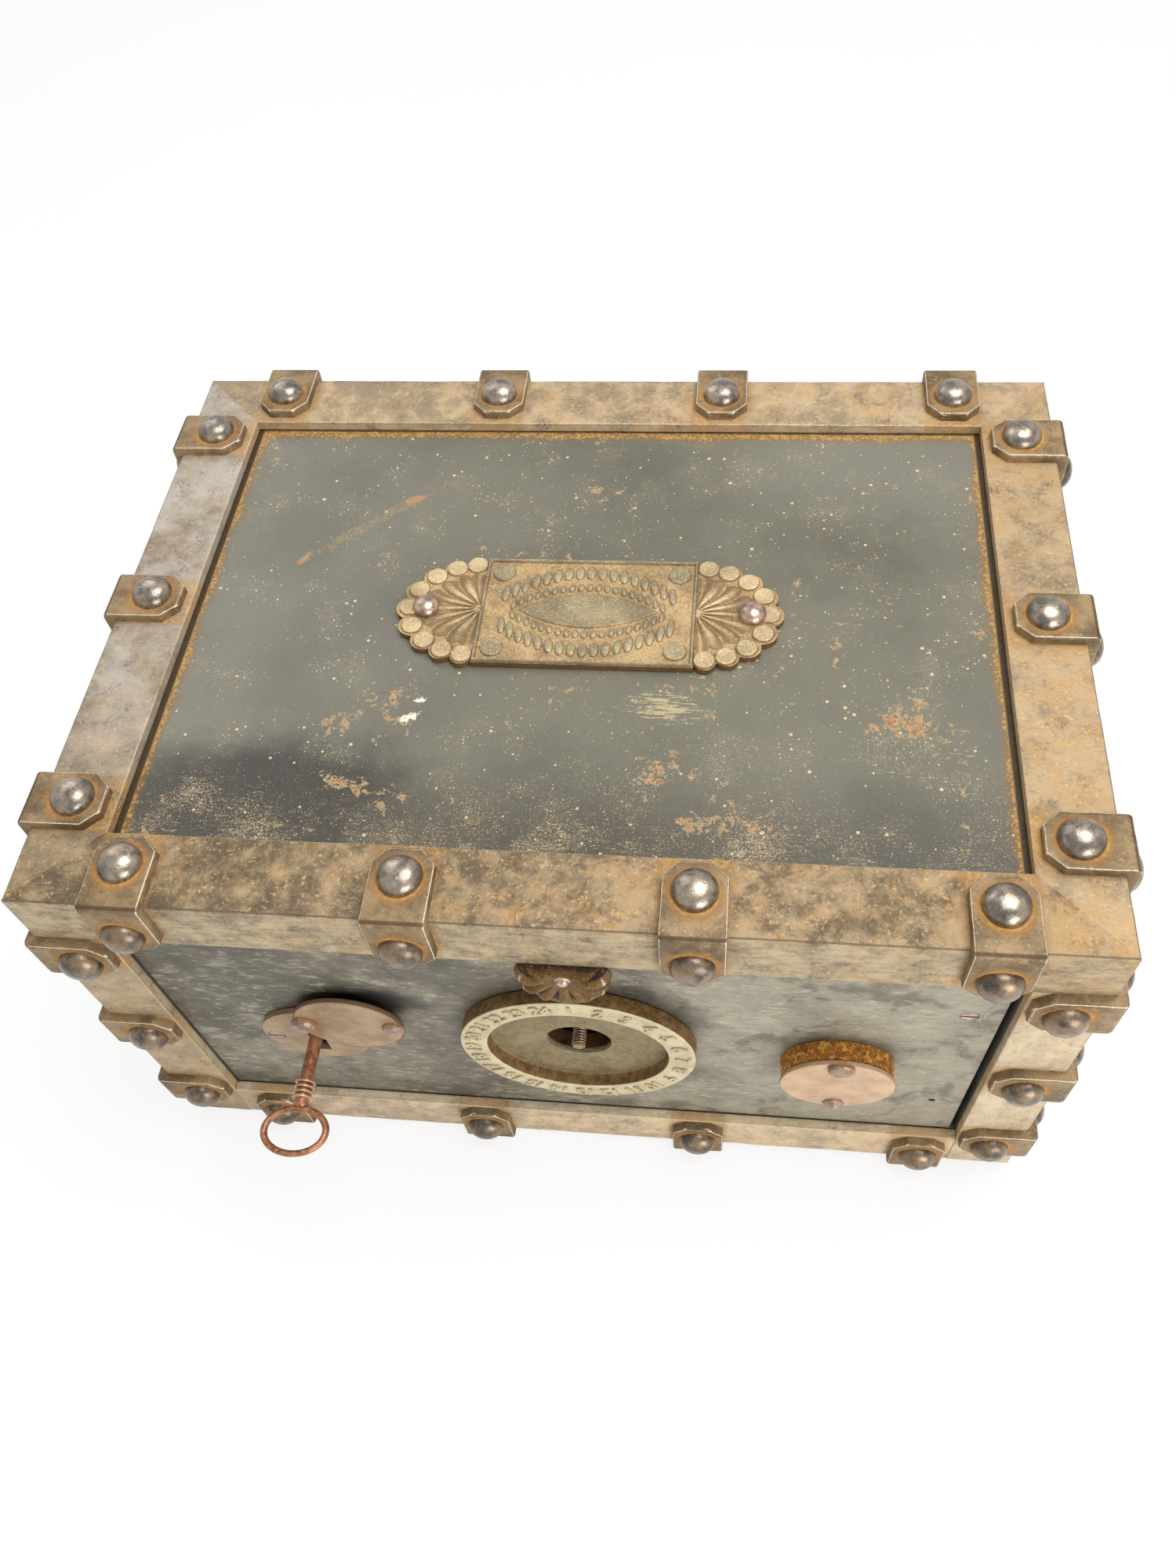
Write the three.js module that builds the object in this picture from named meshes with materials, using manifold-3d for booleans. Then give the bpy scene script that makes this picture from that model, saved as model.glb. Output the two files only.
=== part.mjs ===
// Iron strongbox. An angle-iron cage with riveted straps holds a plate shell, fireproof packing and
// an inner liner. The front is a door on two pivot pins, with two key locks and a combination lock.
// Millimetres. X runs right, Y runs back from the front of the cage, Z runs up from its underside.
import * as THREE from 'three';
import { mergeVertices } from 'three/addons/utils/BufferGeometryUtils.js';
import Module from 'manifold-3d';

const wasm = await Module();
wasm.setup();

// Cage of angle irons
const boxWidth = 420;
const boxDepth = 308;
const boxHeight = 229;
const ironThickness = 5;
const topLegWidth = 32.4;
const topLegHeight = 30.6;
const postLegWidth = 30;
const bottomLegHeight = 30;
const bottomLegWidth = 30;
// Pieces that touch on the real box are drawn this far apart
const seatGap = 0.3;

// Straps over the irons, and their rivets
const strapWidth = 24.8;
const strapThickness = 4.4;
const footThickness = 3.2;
const strapLeg = 29;
const strapCut = 6.4;
const rivetRadius = 8.9;
const rivetRise = 6.8;
const rivetInset = 16;
const rivetFlats = 12;
const topPitchAcross = 110;
const bottomPitchAcross = 107;
const bottomStrapShift = 3;
const pitchAlongSides = 109;
const postPitch = 75;
const strapsAcross = 4;
const strapsAlongSide = 3;
const strapsPerPost = 3;

// Shell, liner and packing
const plateThickness = 4;
const linerThickness = 2.5;
const backPacking = 24;

// Door
const doorRecess = 0.2;
const doorPlateThickness = 8;
const doorGap = 1.2;
const hingeGap = 3.2;
const doorCaseDepth = 32.5;
const caseWall = 3;
const caseInsetFree = 3.5;
const caseInsetHinge = 6;
const caseInsetEdge = 1.4;
const lockSpace = 17.9;
const partitionThickness = 1.5;
const backPlateThickness = 2;
const pivotInset = 5.8;
const pinRadius = 2.4;
const pinRunningGap = 0.2;
const bushWall = 1.3;
const bushLength = 12;
const bushFloor = 2;

// Key locks, the left one drawn and the right one mirrored
const leftLockInset = 61.3;
const rightLockInset = 59.8;
const lockHeightShare = 0.44834;
const boltThrow = 10;
const leverLift = THREE.MathUtils.degToRad(4);
const bitRadius = 15.2;
const bitThickness = 3.6;
const lockWall = 2;
const lockLeft = 36;
const lockRight = 34;
const lockBelow = 17;
const lockAbove = 40;
const boltLow = 7.5;
const boltHeight = 20;
const boltThickness = 4.8;
const boltHeadThickness = 10;
const boltHeadLength = 16;
const boltTail = 27;
const stumpSize = 4;
const stumpOffset = 20;
const slideGap = 0.4;
const strikeGap = 2.2;
const leverThickness = 2.4;
const leverSpace = 0.5;
const leverPivotX = 27;
const leverPivotZ = 22;
const leverPostRadius = 2;
const leverBossRadius = 5.4;
const leverReach = 35;
const leverTop = 28.5;
const leverFoot = 11.5;
const bellyHeights = [13.6, 12.6, 13.1];
const bitClearance = 0.7;
const bellyHalfLength = 9;
const springThickness = 0.8;
const springRoot = 28;
const springTip = 12;

// Keyholes, escutcheons and their swivel covers
const keyholeRadius = 3.9;
const keyholeSlotHalf = 3.3;
const keyholeFootGap = 0.8;
const escutcheonRadius = 24.6;
const leftDiscThickness = 2.7;
const rightRingThickness = 8.2;
const coverThickness = 2.2;
const coverPivotRise = 20.5;
const coverShankRadius = 2.2;
const coverHeadRadius = 5.8;
const leftCoverTurn = -Math.PI / 2;

// Screws in the door, as places across and up, and one hole whose screw is gone
const screwHeadDepth = 1.7;
const escutcheonScrewPlace = [-19.6, -2.5];
const escutcheonScrewRadius = 3.9;
const caseScrewInset = [16, 37.2];
const caseScrewRadius = 3.6;
const emptyScrewInset = [16.6, 36.3];
const emptyScrewRadius = 1.8;

// Key
const keyStemRadius = 3.1;
const keyTipRadius = 2.6;
const keyCollarRadius = 4.6;
const keyCollars = 4;
const keyFlats = 12;
const keyCollarPitch = 2.3;
const keyCollarStart = 19.5;
const keyBowWidth = 13.9;
const keyBowLength = 10.3;
const keyBowWire = 1.6;
const keyBowCentre = 42;

// Dial, spindle and combination wheels
const dialX = 4.2;
const dialHeightShare = 0.50653;
const dialRadiusShare = 0.307007;
const dialBand = 11.7;
const dialThickness = 7.1;
const dialFloor = 1.2;
const dialHoleRadius = 14.3;
const spindleRadius = 4;
const threadRadius = 2.5;
const wheelRadius = 22;
const wheelThickness = 1.8;
const wheelCount = 3;
const wheelSpace = 0.5;
const wheelGate = 4.6;
const gateAngles = [40, 145, 250];
const camRadius = 16;
const comboHalf = 32;
const comboRise = 36;
const fencePivotX = 25;
const fencePivotZ = 27;
const fenceGap = 0.4;

// Rosette above the dial
const rosetteX = 4.5;
const rosetteHeightShare = 0.956057;
const rosetteRadius = 19.4;
const rosetteBossGap = 1.1;
const rosettePetals = 7;
const rosetteScrewRadius = 3.4;
const rosetteSeat = -1.4;

// Nameplate on the top
const nameX = 1.5;
const nameShift = 1.5;
const nameLength = 95;
const nameBreadth = 60;
const nameFanReach = 36;
const nameThickness = 3;
const nameBorder = 1.2;
const nameBossRadius = 5;
const nameRivetReach = 71.5;
const nameRivetRadius = 5.3;

// Places that follow from the sizes above
const shellSide = boxWidth / 2 - ironThickness - seatGap;
const shellFront = ironThickness + seatGap;
const shellBack = boxDepth - ironThickness - seatGap;
const shellLow = ironThickness + seatGap;
const shellHigh = boxHeight - ironThickness - seatGap;
const innerSide = shellSide - plateThickness;
const innerLow = shellLow + plateThickness;
const innerHigh = shellHigh - plateThickness;
const innerBack = shellBack - plateThickness;
const openingHalf = boxWidth / 2 - postLegWidth;
const openingLow = bottomLegHeight;
const openingHigh = boxHeight - topLegHeight;
const linerBack = innerBack - seatGap - backPacking - seatGap - linerThickness;
const openingHeight = openingHigh - openingLow;
const doorFront = ironThickness + doorRecess;
const doorLeft = -openingHalf + doorGap;
const doorRight = openingHalf - hingeGap;
const doorBack = doorFront + doorPlateThickness;
const pivotX = doorRight - pivotInset;
const pivotY = doorFront + doorPlateThickness / 2;
const pinReach = bushLength - bushFloor - seatGap;
const caseFront = doorBack + seatGap;
const caseBack = caseFront + doorCaseDepth;
const caseLeft = -openingHalf + caseInsetFree;
const caseRight = openingHalf - caseInsetHinge;
const caseLow = openingLow + caseInsetEdge;
const caseHigh = openingHigh - caseInsetEdge;
const fittingBack = doorFront - seatGap;
const lockBack = caseFront + lockSpace;
const lockFloor = lockBack - lockWall;
const boltBack = caseFront + boltThickness;
const leverFront = boltBack + leverSpace;
const postTop = openingHigh - seatGap;
const leftLockX = doorLeft + leftLockInset;
const rightLockX = doorRight - rightLockInset;
const lockZ = openingLow + openingHeight * lockHeightShare;
const dialZ = openingLow + openingHeight * dialHeightShare;
const dialRadius = openingHeight * dialRadiusShare;
const dialInnerRadius = dialRadius - dialBand;
const rosetteZ = openingLow + openingHeight * rosetteHeightShare;
const rosetteBossRadius = (openingHigh - seatGap - dialZ - dialRadius - rosetteBossGap) / 2;
const caseScrewPlace = [openingHalf - caseScrewInset[0], openingHigh - caseScrewInset[1]];
const emptyScrewPlace = [openingHalf - emptyScrewInset[0], openingLow + emptyScrewInset[1]];
const nameY = boxDepth / 2 + nameShift;

const colours = {
  iron: new THREE.MeshStandardMaterial({ color: 0x83735a, roughness: 0.62, metalness: 0.75 }),
  paint: new THREE.MeshStandardMaterial({ color: 0x2c2e2c, roughness: 0.45, metalness: 0.2 }),
  door: new THREE.MeshStandardMaterial({ color: 0x5b5e5c, roughness: 0.55, metalness: 0.6 }),
  steel: new THREE.MeshStandardMaterial({ color: 0x9a8575, roughness: 0.45, metalness: 0.85 }),
  cast: new THREE.MeshStandardMaterial({ color: 0x7d7468, roughness: 0.6, metalness: 0.75 }),
  plate: new THREE.MeshStandardMaterial({ color: 0x8c6f45, roughness: 0.6, metalness: 0.7 }),
  key: new THREE.MeshStandardMaterial({ color: 0x8a5436, roughness: 0.6, metalness: 0.7 }),
  lock: new THREE.MeshStandardMaterial({ color: 0x8d8f90, roughness: 0.4, metalness: 0.9 }),
  brass: new THREE.MeshStandardMaterial({ color: 0xa98a4a, roughness: 0.4, metalness: 0.9 }),
  sheet: new THREE.MeshStandardMaterial({ color: 0x565a5c, roughness: 0.6, metalness: 0.6 }),
  packing: new THREE.MeshStandardMaterial({ color: 0xcfc6b2, roughness: 0.95, metalness: 0 }),
};

// Merged triangles of a geometry, without the slivers that a revolve leaves on its axis
function mergedTriangles(geometry) {
  const bare = geometry.clone();
  bare.deleteAttribute('normal');
  bare.deleteAttribute('uv');
  const merged = mergeVertices(bare, 1e-4);
  const source = merged.index.array;
  const kept = [];
  for (let i = 0; i < source.length; i += 3) {
    const [a, b, c] = source.slice(i, i + 3);
    if (a !== b && b !== c && c !== a) kept.push(a, b, c);
  }
  return { positions: merged.attributes.position.array, kept };
}

function signedVolume(positions, triangles) {
  const corner = (i) => new THREE.Vector3().fromArray(positions, 3 * i);
  let total = 0;
  for (let i = 0; i < triangles.length; i += 3) {
    const [a, b, c] = triangles.slice(i, i + 3).map(corner);
    total += a.dot(b.cross(c)) / 6;
  }
  return total;
}

// A closed three.js geometry as a solid that can be cut and joined
function toSolid(geometry) {
  const { positions, kept } = mergedTriangles(geometry);
  if (signedVolume(positions, kept) < 0) kept.reverse();
  return new wasm.Manifold(new wasm.Mesh({
    numProp: 3,
    vertProperties: Float32Array.from(positions),
    triVerts: Uint32Array.from(kept),
  }));
}

function block(x0, x1, y0, y1, z0, z1) {
  const geometry = new THREE.BoxGeometry(x1 - x0, y1 - y0, z1 - z0);
  geometry.translate((x0 + x1) / 2, (y0 + y1) / 2, (z0 + z1) / 2);
  return toSolid(geometry);
}

// A flat outline in X and Z, given its thickness along Y
function plateAlongY(shape, y0, y1) {
  const geometry = new THREE.ExtrudeGeometry(shape, { depth: y1 - y0, bevelEnabled: false, curveSegments: 12 });
  geometry.rotateX(Math.PI / 2);
  geometry.translate(0, y1, 0);
  return toSolid(geometry);
}

// A flat outline in X and Y, given its thickness along Z
function plateAlongZ(shape, z0, z1) {
  const geometry = new THREE.ExtrudeGeometry(shape, { depth: z1 - z0, bevelEnabled: false, curveSegments: 4 });
  geometry.translate(0, 0, z0);
  return toSolid(geometry);
}

// How many flats stand in for a circle
function flatsFor(radius) {
  if (radius < 3) return 10;
  if (radius < 8) return 14;
  if (radius < 18) return 20;
  return radius < 30 ? 30 : 40;
}

// A turned piece around a line along Y, from radius and Y pairs that start and end on the line
function turnedAlongY(x, z, profile, flats = flatsFor(Math.max(...profile.map(([radius]) => radius)))) {
  const points = profile.map(([radius, y]) => new THREE.Vector2(radius, y));
  const geometry = new THREE.LatheGeometry(points, flats);
  geometry.translate(x, 0, z);
  return toSolid(geometry);
}

function rodAlongY(x, z, radius, y0, y1) {
  return turnedAlongY(x, z, [[0, y0], [radius, y0], [radius, y1], [0, y1]]);
}

function rodAlongZ(x, y, radius, z0, z1) {
  const geometry = new THREE.CylinderGeometry(radius, radius, z1 - z0, flatsFor(radius));
  geometry.rotateX(Math.PI / 2);
  geometry.translate(x, y, (z0 + z1) / 2);
  return toSolid(geometry);
}

function outline(points) {
  return new THREE.Shape(points.map(([x, y]) => new THREE.Vector2(x, y)));
}

function join(solids) {
  return solids.reduce((whole, solid) => whole.add(solid));
}

function cut(solid, tools) {
  return tools.reduce((left, tool) => left.subtract(tool), solid);
}

// A domed head on the face at y = 0, bulging towards -Y, with a root that sinks into what carries it
function domeProfile(radius, rise, root, rings = 2) {
  const sphere = (radius * radius + rise * rise) / (2 * rise);
  const start = Math.asin(radius / sphere);
  const profile = [[0, -rise]];
  for (let i = 1; i <= rings; i++) {
    const angle = start * i / rings;
    profile.push([sphere * Math.sin(angle), sphere - rise - sphere * Math.cos(angle)]);
  }
  profile.push([radius, root], [0, root]);
  return profile;
}

function addPiece(group, name, solid, material) {
  const { vertProperties, triVerts } = solid.getMesh();
  const geometry = new THREE.BufferGeometry();
  geometry.setAttribute('position', new THREE.BufferAttribute(Float32Array.from(vertProperties), 3));
  geometry.setIndex(new THREE.BufferAttribute(Uint32Array.from(triVerts), 1));
  geometry.computeVertexNormals();
  const mesh = new THREE.Mesh(geometry, material);
  mesh.name = name;
  group.add(mesh);
  return mesh;
}

// One leg of a strap: a plate with its two far corners cut, lying on the face z = 0 from y = -overhang
function strapLegSolid(overhang, thickness) {
  const half = strapWidth / 2;
  const shape = outline([
    [-half, -overhang], [half, -overhang], [half, strapLeg - strapCut],
    [half - strapCut, strapLeg], [strapCut - half, strapLeg], [-half, strapLeg - strapCut],
  ]);
  return plateAlongZ(shape, -seatGap, thickness);
}

// A strap bent over the outer edge of an iron that runs along X, with its rivet heads
function strapOverEdge(faceThickness, sideThickness, sideRivet) {
  const faceLeg = strapLegSolid(sideThickness, faceThickness);
  const sideLeg = strapLegSolid(faceThickness, sideThickness).mirror([0, 0, 1]).rotate([-90, 0, 0]);
  const head = turnedAlongY(0, 0, domeProfile(rivetRadius, rivetRise, seatGap), rivetFlats);
  const faceHead = head.rotate([-90, 0, 0]).translate([0, rivetInset, faceThickness]);
  const parts = [faceLeg, sideLeg, faceHead];
  if (sideRivet) parts.push(head.translate([0, -sideThickness, -rivetInset]));
  return join(parts);
}

// An angle iron along X. Its face leg runs to +Y under z = 0 and its side leg hangs below the edge.
function angleIron({ length, faceLeg, sideLeg, mitred, strapPlaces, strap }) {
  let iron = join([
    block(0, length, 0, faceLeg, -ironThickness, 0),
    block(0, length, 0, ironThickness, -sideLeg, 0),
  ]);
  if (mitred) {
    const clear = seatGap / 2;
    iron = iron.trimByPlane([Math.SQRT1_2, -Math.SQRT1_2, 0], clear);
    iron = iron.trimByPlane([-Math.SQRT1_2, -Math.SQRT1_2, 0], clear - length * Math.SQRT1_2);
  }
  return join([iron, ...strapPlaces.map((place) => strap.translate([place, 0, 0]))]);
}

function evenPlaces(centre, pitch, count) {
  return Array.from({ length: count }, (_, i) => centre + (i - (count - 1) / 2) * pitch);
}

// The four sides of the box. Each has its own group at its left corner, turned to face outwards.
const sides = [
  { name: 'front', post: 'front_left', quarterTurns: 0, corner: [-boxWidth / 2, 0], span: boxWidth },
  { name: 'right', post: 'front_right', quarterTurns: 1, corner: [boxWidth / 2, 0], span: boxDepth },
  { name: 'back', post: 'back_right', quarterTurns: 2, corner: [boxWidth / 2, boxDepth], span: boxWidth },
  { name: 'left', post: 'back_left', quarterTurns: 3, corner: [-boxWidth / 2, boxDepth], span: boxDepth },
];

function addTopIron(group, { name, span }) {
  const across = span === boxWidth;
  const iron = angleIron({
    length: span,
    faceLeg: topLegWidth,
    sideLeg: topLegHeight,
    mitred: true,
    strapPlaces: across
      ? evenPlaces(span / 2, topPitchAcross, strapsAcross)
      : evenPlaces(span / 2, pitchAlongSides, strapsAlongSide),
    strap: strapOverEdge(strapThickness, strapThickness, true),
  });
  addPiece(group, `top_iron_${name}`, iron, colours.iron).position.set(0, 0, boxHeight);
}

// The bottom iron lies the other way up: its face leg stands up the front and its side leg runs under
function addBottomIron(group, { name, span }) {
  const across = span === boxWidth;
  const start = postLegWidth + seatGap;
  const middle = span / 2 - start;
  const iron = angleIron({
    length: span - 2 * start,
    faceLeg: bottomLegHeight,
    sideLeg: bottomLegWidth,
    mitred: false,
    strapPlaces: across
      ? evenPlaces(middle + (name === 'front' ? bottomStrapShift : 0), bottomPitchAcross, strapsAcross)
      : evenPlaces(middle, pitchAlongSides, strapsAlongSide),
    strap: strapOverEdge(strapThickness, footThickness, false),
  });
  const mesh = addPiece(group, `bottom_iron_${name}`, iron, colours.iron);
  mesh.position.set(start, 0, 0);
  mesh.rotation.set(Math.PI / 2, 0, 0);
}

// The corner post stands with its face leg on the front and its side leg on the left
function addPost(group, { post }) {
  const iron = angleIron({
    length: postTop,
    faceLeg: postLegWidth,
    sideLeg: postLegWidth,
    mitred: false,
    strapPlaces: Array.from({ length: strapsPerPost }, (_, i) => strapWidth / 2 + i * postPitch),
    strap: strapOverEdge(strapThickness, strapThickness, true),
  });
  const mesh = addPiece(group, `corner_post_${post}`, iron, colours.iron);
  mesh.position.set(0, 0, postTop);
  mesh.rotation.set(0, Math.PI / 2, -Math.PI / 2, 'ZYX');
}

function addShell(group) {
  const sideLow = innerLow + seatGap;
  const sideHigh = innerHigh - seatGap;
  const backSide = innerSide - seatGap;
  const rivetHoles = [-1, 1].map((s) => rodAlongZ(nameX + s * nameRivetReach, nameY,
    coverShankRadius + seatGap, innerHigh - 1, shellHigh + 1));
  const top = cut(block(-shellSide, shellSide, shellFront, shellBack, innerHigh, shellHigh), rivetHoles);
  addPiece(group, 'top_plate', top, colours.paint);
  addPiece(group, 'bottom_plate', block(-shellSide, shellSide, shellFront, shellBack, shellLow, innerLow), colours.paint);
  addPiece(group, 'left_plate', block(-shellSide, -innerSide, shellFront, shellBack, sideLow, sideHigh), colours.paint);
  addPiece(group, 'right_plate', block(innerSide, shellSide, shellFront, shellBack, sideLow, sideHigh), colours.paint);
  addPiece(group, 'back_plate', block(-backSide, backSide, innerBack, shellBack, sideLow, sideHigh), colours.paint);
}

// The space that a thrown bolt needs with a gap all round it, on the side given by hand
function strikeSpace(hand, from, to, gap) {
  const low = lockZ + boltLow - gap;
  const high = lockZ + boltLow + boltHeight + gap;
  const reach = [hand * from, hand * to].sort((a, b) => a - b);
  return block(...reach, caseFront - gap, caseFront + boltHeadThickness + gap, low, high);
}

function bushBores(radius) {
  return [
    rodAlongZ(pivotX, pivotY, radius, openingHigh - linerThickness, openingHigh + bushLength + seatGap),
    rodAlongZ(pivotX, pivotY, radius, openingLow - bushLength - seatGap, openingLow + linerThickness),
  ];
}

function addLinerAndPacking(group) {
  const wall = linerThickness;
  const outerHalf = openingHalf + wall;
  const flangeBack = shellFront + wall;
  const bushHole = pinRadius + pinRunningGap + bushWall + seatGap;
  const side = innerSide - seatGap;
  const low = innerLow + seatGap;
  const high = innerHigh - seatGap;
  const flange = block(-side, side, shellFront, flangeBack, low, high);
  const tub = block(-outerHalf, outerHalf, shellFront, linerBack + wall, openingLow - wall, openingHigh + wall);
  const cavity = block(-openingHalf, openingHalf, shellFront - wall, linerBack, openingLow, openingHigh);
  const liner = cut(join([flange, tub]), [
    cavity,
    strikeSpace(-1, openingHalf - wall, outerHalf + wall, strikeGap),
    strikeSpace(1, openingHalf - wall, outerHalf + wall, strikeGap),
    ...bushBores(bushHole),
  ]);
  addPiece(group, 'inner_liner', liner, colours.sheet);

  const hollow = outerHalf + seatGap;
  const pocket = openingHalf + boltThrow + 1;
  const filling = block(-side, side, flangeBack + seatGap, innerBack - seatGap, low, high);
  const packing = cut(filling, [
    block(-hollow, hollow, shellFront, linerBack + wall + seatGap, openingLow - wall - seatGap,
      openingHigh + wall + seatGap),
    strikeSpace(-1, openingHalf, pocket, strikeGap),
    strikeSpace(1, openingHalf, pocket, strikeGap),
    ...bushBores(bushHole),
  ]);
  addPiece(group, 'body_packing', packing, colours.packing);
}

// Blind bushes above and below the opening, in which the door's pivot pins turn
function addBushes(group) {
  const bore = pinRadius + pinRunningGap;
  const bush = cut(
    rodAlongZ(pivotX, pivotY, bore + bushWall, 0, bushLength),
    [rodAlongZ(pivotX, pivotY, bore, -1, bushLength - bushFloor)],
  );
  addPiece(group, 'pivot_bush_upper', bush.translate([0, 0, openingHigh]), colours.brass);
  addPiece(group, 'pivot_bush_lower', bush.mirror([0, 0, 1]).translate([0, 0, openingLow]), colours.brass);
}

// The nameplate's outline: a rectangle with a scalloped fan at each end
function nameplateOutline() {
  const halfLength = nameLength / 2;
  const halfBreadth = nameBreadth / 2;
  const lobes = 7;
  const shape = new THREE.Shape();
  shape.moveTo(-halfLength, -halfBreadth);
  for (const end of [1, -1]) {
    shape.lineTo(end * halfLength, -end * halfBreadth);
    for (let i = 0; i < lobes; i++) {
      const places = [i, i + 1].map((k) => {
        const angle = Math.PI * (k / lobes - 0.5);
        return [end * (halfLength + nameFanReach * Math.cos(angle)), end * halfBreadth * Math.sin(angle)];
      });
      const middle = Math.PI * ((i + 0.5) / lobes - 0.5);
      const bulge = [
        end * (halfLength + (nameFanReach + 5) * Math.cos(middle)),
        end * (halfBreadth + 5) * Math.sin(middle),
      ];
      if (i === 0) shape.lineTo(...places[0]);
      shape.quadraticCurveTo(...bulge, ...places[1]);
    }
  }
  shape.closePath();
  return shape;
}

function addNameplate(group) {
  const seat = shellHigh + seatGap;
  const face = seat + nameThickness;
  const halfLength = nameLength / 2;
  const halfBreadth = nameBreadth / 2;
  const border = cut(
    block(-halfLength, halfLength, -halfBreadth, halfBreadth, face - seatGap, face + nameBorder),
    [block(nameBorder * 2 - halfLength, halfLength - nameBorder * 2, nameBorder * 2 - halfBreadth,
      halfBreadth - nameBorder * 2, face - 1, face + 2 * nameBorder)],
  );
  const bosses = [[-1, -1], [1, -1], [-1, 1], [1, 1]].map(([sx, sy]) => rodAlongZ(
    sx * (halfLength - nameBorder - nameBossRadius - 2), sy * (halfBreadth - nameBorder - nameBossRadius - 2),
    nameBossRadius, face - seatGap, face + nameBorder));
  const oval = new THREE.Shape().absellipse(0, 0, halfLength * 0.68, halfBreadth * 0.4, 0, 2 * Math.PI);
  const holes = [-1, 1].map((s) => rodAlongZ(s * nameRivetReach, 0, coverShankRadius + seatGap, seat - 1, face + 3));
  const plate = cut(
    join([plateAlongZ(nameplateOutline(), seat, face), border, ...bosses,
      plateAlongZ(oval, face - seatGap, face + nameBorder / 2)]),
    holes,
  );
  addPiece(group, 'nameplate', plate, colours.plate);

  const head = turnedAlongY(0, 0, domeProfile(nameRivetRadius, 4.6, 0));
  for (const [s, side] of [[-1, 'left'], [1, 'right']]) {
    const shank = rodAlongZ(0, 0, coverShankRadius, innerHigh + seatGap, face + seatGap + 1);
    const rivet = join([head.rotate([-90, 0, 0]).translate([0, 0, face + seatGap]), shank]);
    addPiece(group, `nameplate_rivet_${side}`, rivet, colours.steel).position.set(s * nameRivetReach, 0, 0);
  }
}

// A keyhole outline seen from the front: a round hole with a slot below it for the bit
function keyholeSpace(y0, y1) {
  const slotFoot = -bitRadius - keyholeFootGap;
  return join([
    rodAlongY(0, 0, keyholeRadius, y0, y1),
    block(-keyholeSlotHalf, keyholeSlotHalf, y0, y1, slotFoot, 0),
  ]);
}

// Where the fittings' shanks enter the door plate
const blindHoles = [
  [leftLockX, lockZ + coverPivotRise],
  [rightLockX, lockZ + coverPivotRise],
  [leftLockX + escutcheonScrewPlace[0], lockZ + escutcheonScrewPlace[1]],
  [rosetteX, rosetteZ],
];

// The front plate with its pivot pegs, and the flat case behind it that holds locks and packing
function addDoorShell(group) {
  const low = openingLow + doorGap;
  const high = openingHigh - doorGap;
  const through = [doorFront - 1, doorBack + 1];
  const shankHole = coverShankRadius + seatGap;
  const pegs = rodAlongZ(pivotX, pivotY, pinRadius, openingLow - pinReach, openingHigh + pinReach);
  const front = cut(join([block(doorLeft, doorRight, doorFront, doorBack, low, high), pegs]), [
    keyholeSpace(...through).translate([leftLockX, 0, lockZ]),
    keyholeSpace(...through).translate([rightLockX, 0, lockZ]),
    rodAlongY(dialX, dialZ, dialHoleRadius, ...through),
    ...blindHoles.map((place) => rodAlongY(...place, shankHole, doorFront - 1, doorBack - 2)),
    rodAlongY(...caseScrewPlace, shankHole, ...through),
    rodAlongY(...caseScrewPlace, caseScrewRadius + seatGap, doorFront - 1, doorFront + screwHeadDepth + seatGap),
    rodAlongY(...emptyScrewPlace, emptyScrewRadius, ...through),
  ]);
  addPiece(group, 'door_plate', front, colours.door);

  const inner = [caseLeft + caseWall, caseRight - caseWall];
  const innerZ = [caseLow + caseWall, caseHigh - caseWall];
  const ring = cut(block(caseLeft, caseRight, caseFront, caseBack, caseLow, caseHigh), [
    block(...inner, caseFront - 1, caseBack + 1, ...innerZ),
  ]);
  const lugs = [caseScrewPlace, emptyScrewPlace].map(([x, z]) => cut(
    block(x - 6, inner[1] + 1, caseFront, caseFront + 8, z - 6, z + 6),
    [rodAlongY(x, z, coverShankRadius + seatGap, caseFront - 1, caseFront + 9)],
  ));
  const boltWays = [
    strikeSpace(-1, -caseLeft - caseWall - 1, -caseLeft + 1, slideGap),
    strikeSpace(1, caseRight - caseWall - 1, caseRight + 1, slideGap),
  ];
  addPiece(group, 'door_case', cut(join([ring, ...lugs]), boltWays), colours.sheet);

  const clearX = [inner[0] + seatGap, inner[1] - seatGap];
  const clearZ = [innerZ[0] + seatGap, innerZ[1] - seatGap];
  const partitionFront = lockBack + seatGap;
  const packingFront = partitionFront + partitionThickness + seatGap;
  addPiece(group, 'door_partition',
    block(...clearX, partitionFront, partitionFront + partitionThickness, ...clearZ), colours.sheet);
  addPiece(group, 'door_packing', block(...clearX, packingFront, caseBack - seatGap, ...clearZ), colours.packing);
  addPiece(group, 'door_back_plate',
    block(caseLeft, caseRight, caseBack + seatGap, caseBack + seatGap + backPlateThickness, caseLow, caseHigh),
    colours.sheet);
}

// A screw with a slotted head, its head from headFront back to headBack and its shank behind that
function slottedScrew(headRadius, headFront, headBack, shankBack) {
  const body = turnedAlongY(0, 0, [
    [0, headFront], [headRadius, headFront], [headRadius, headBack],
    [coverShankRadius, headBack], [coverShankRadius, shankBack], [0, shankBack],
  ]);
  return cut(body, [block(-headRadius - 1, headRadius + 1, headFront - 1, headFront + 0.8, -0.5, 0.5)]);
}

function addCaseScrew(group) {
  const screw = slottedScrew(caseScrewRadius, doorFront, doorFront + screwHeadDepth, doorBack + 7);
  addPiece(group, 'case_screw', screw, colours.steel).position.set(caseScrewPlace[0], 0, caseScrewPlace[1]);
}

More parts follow.
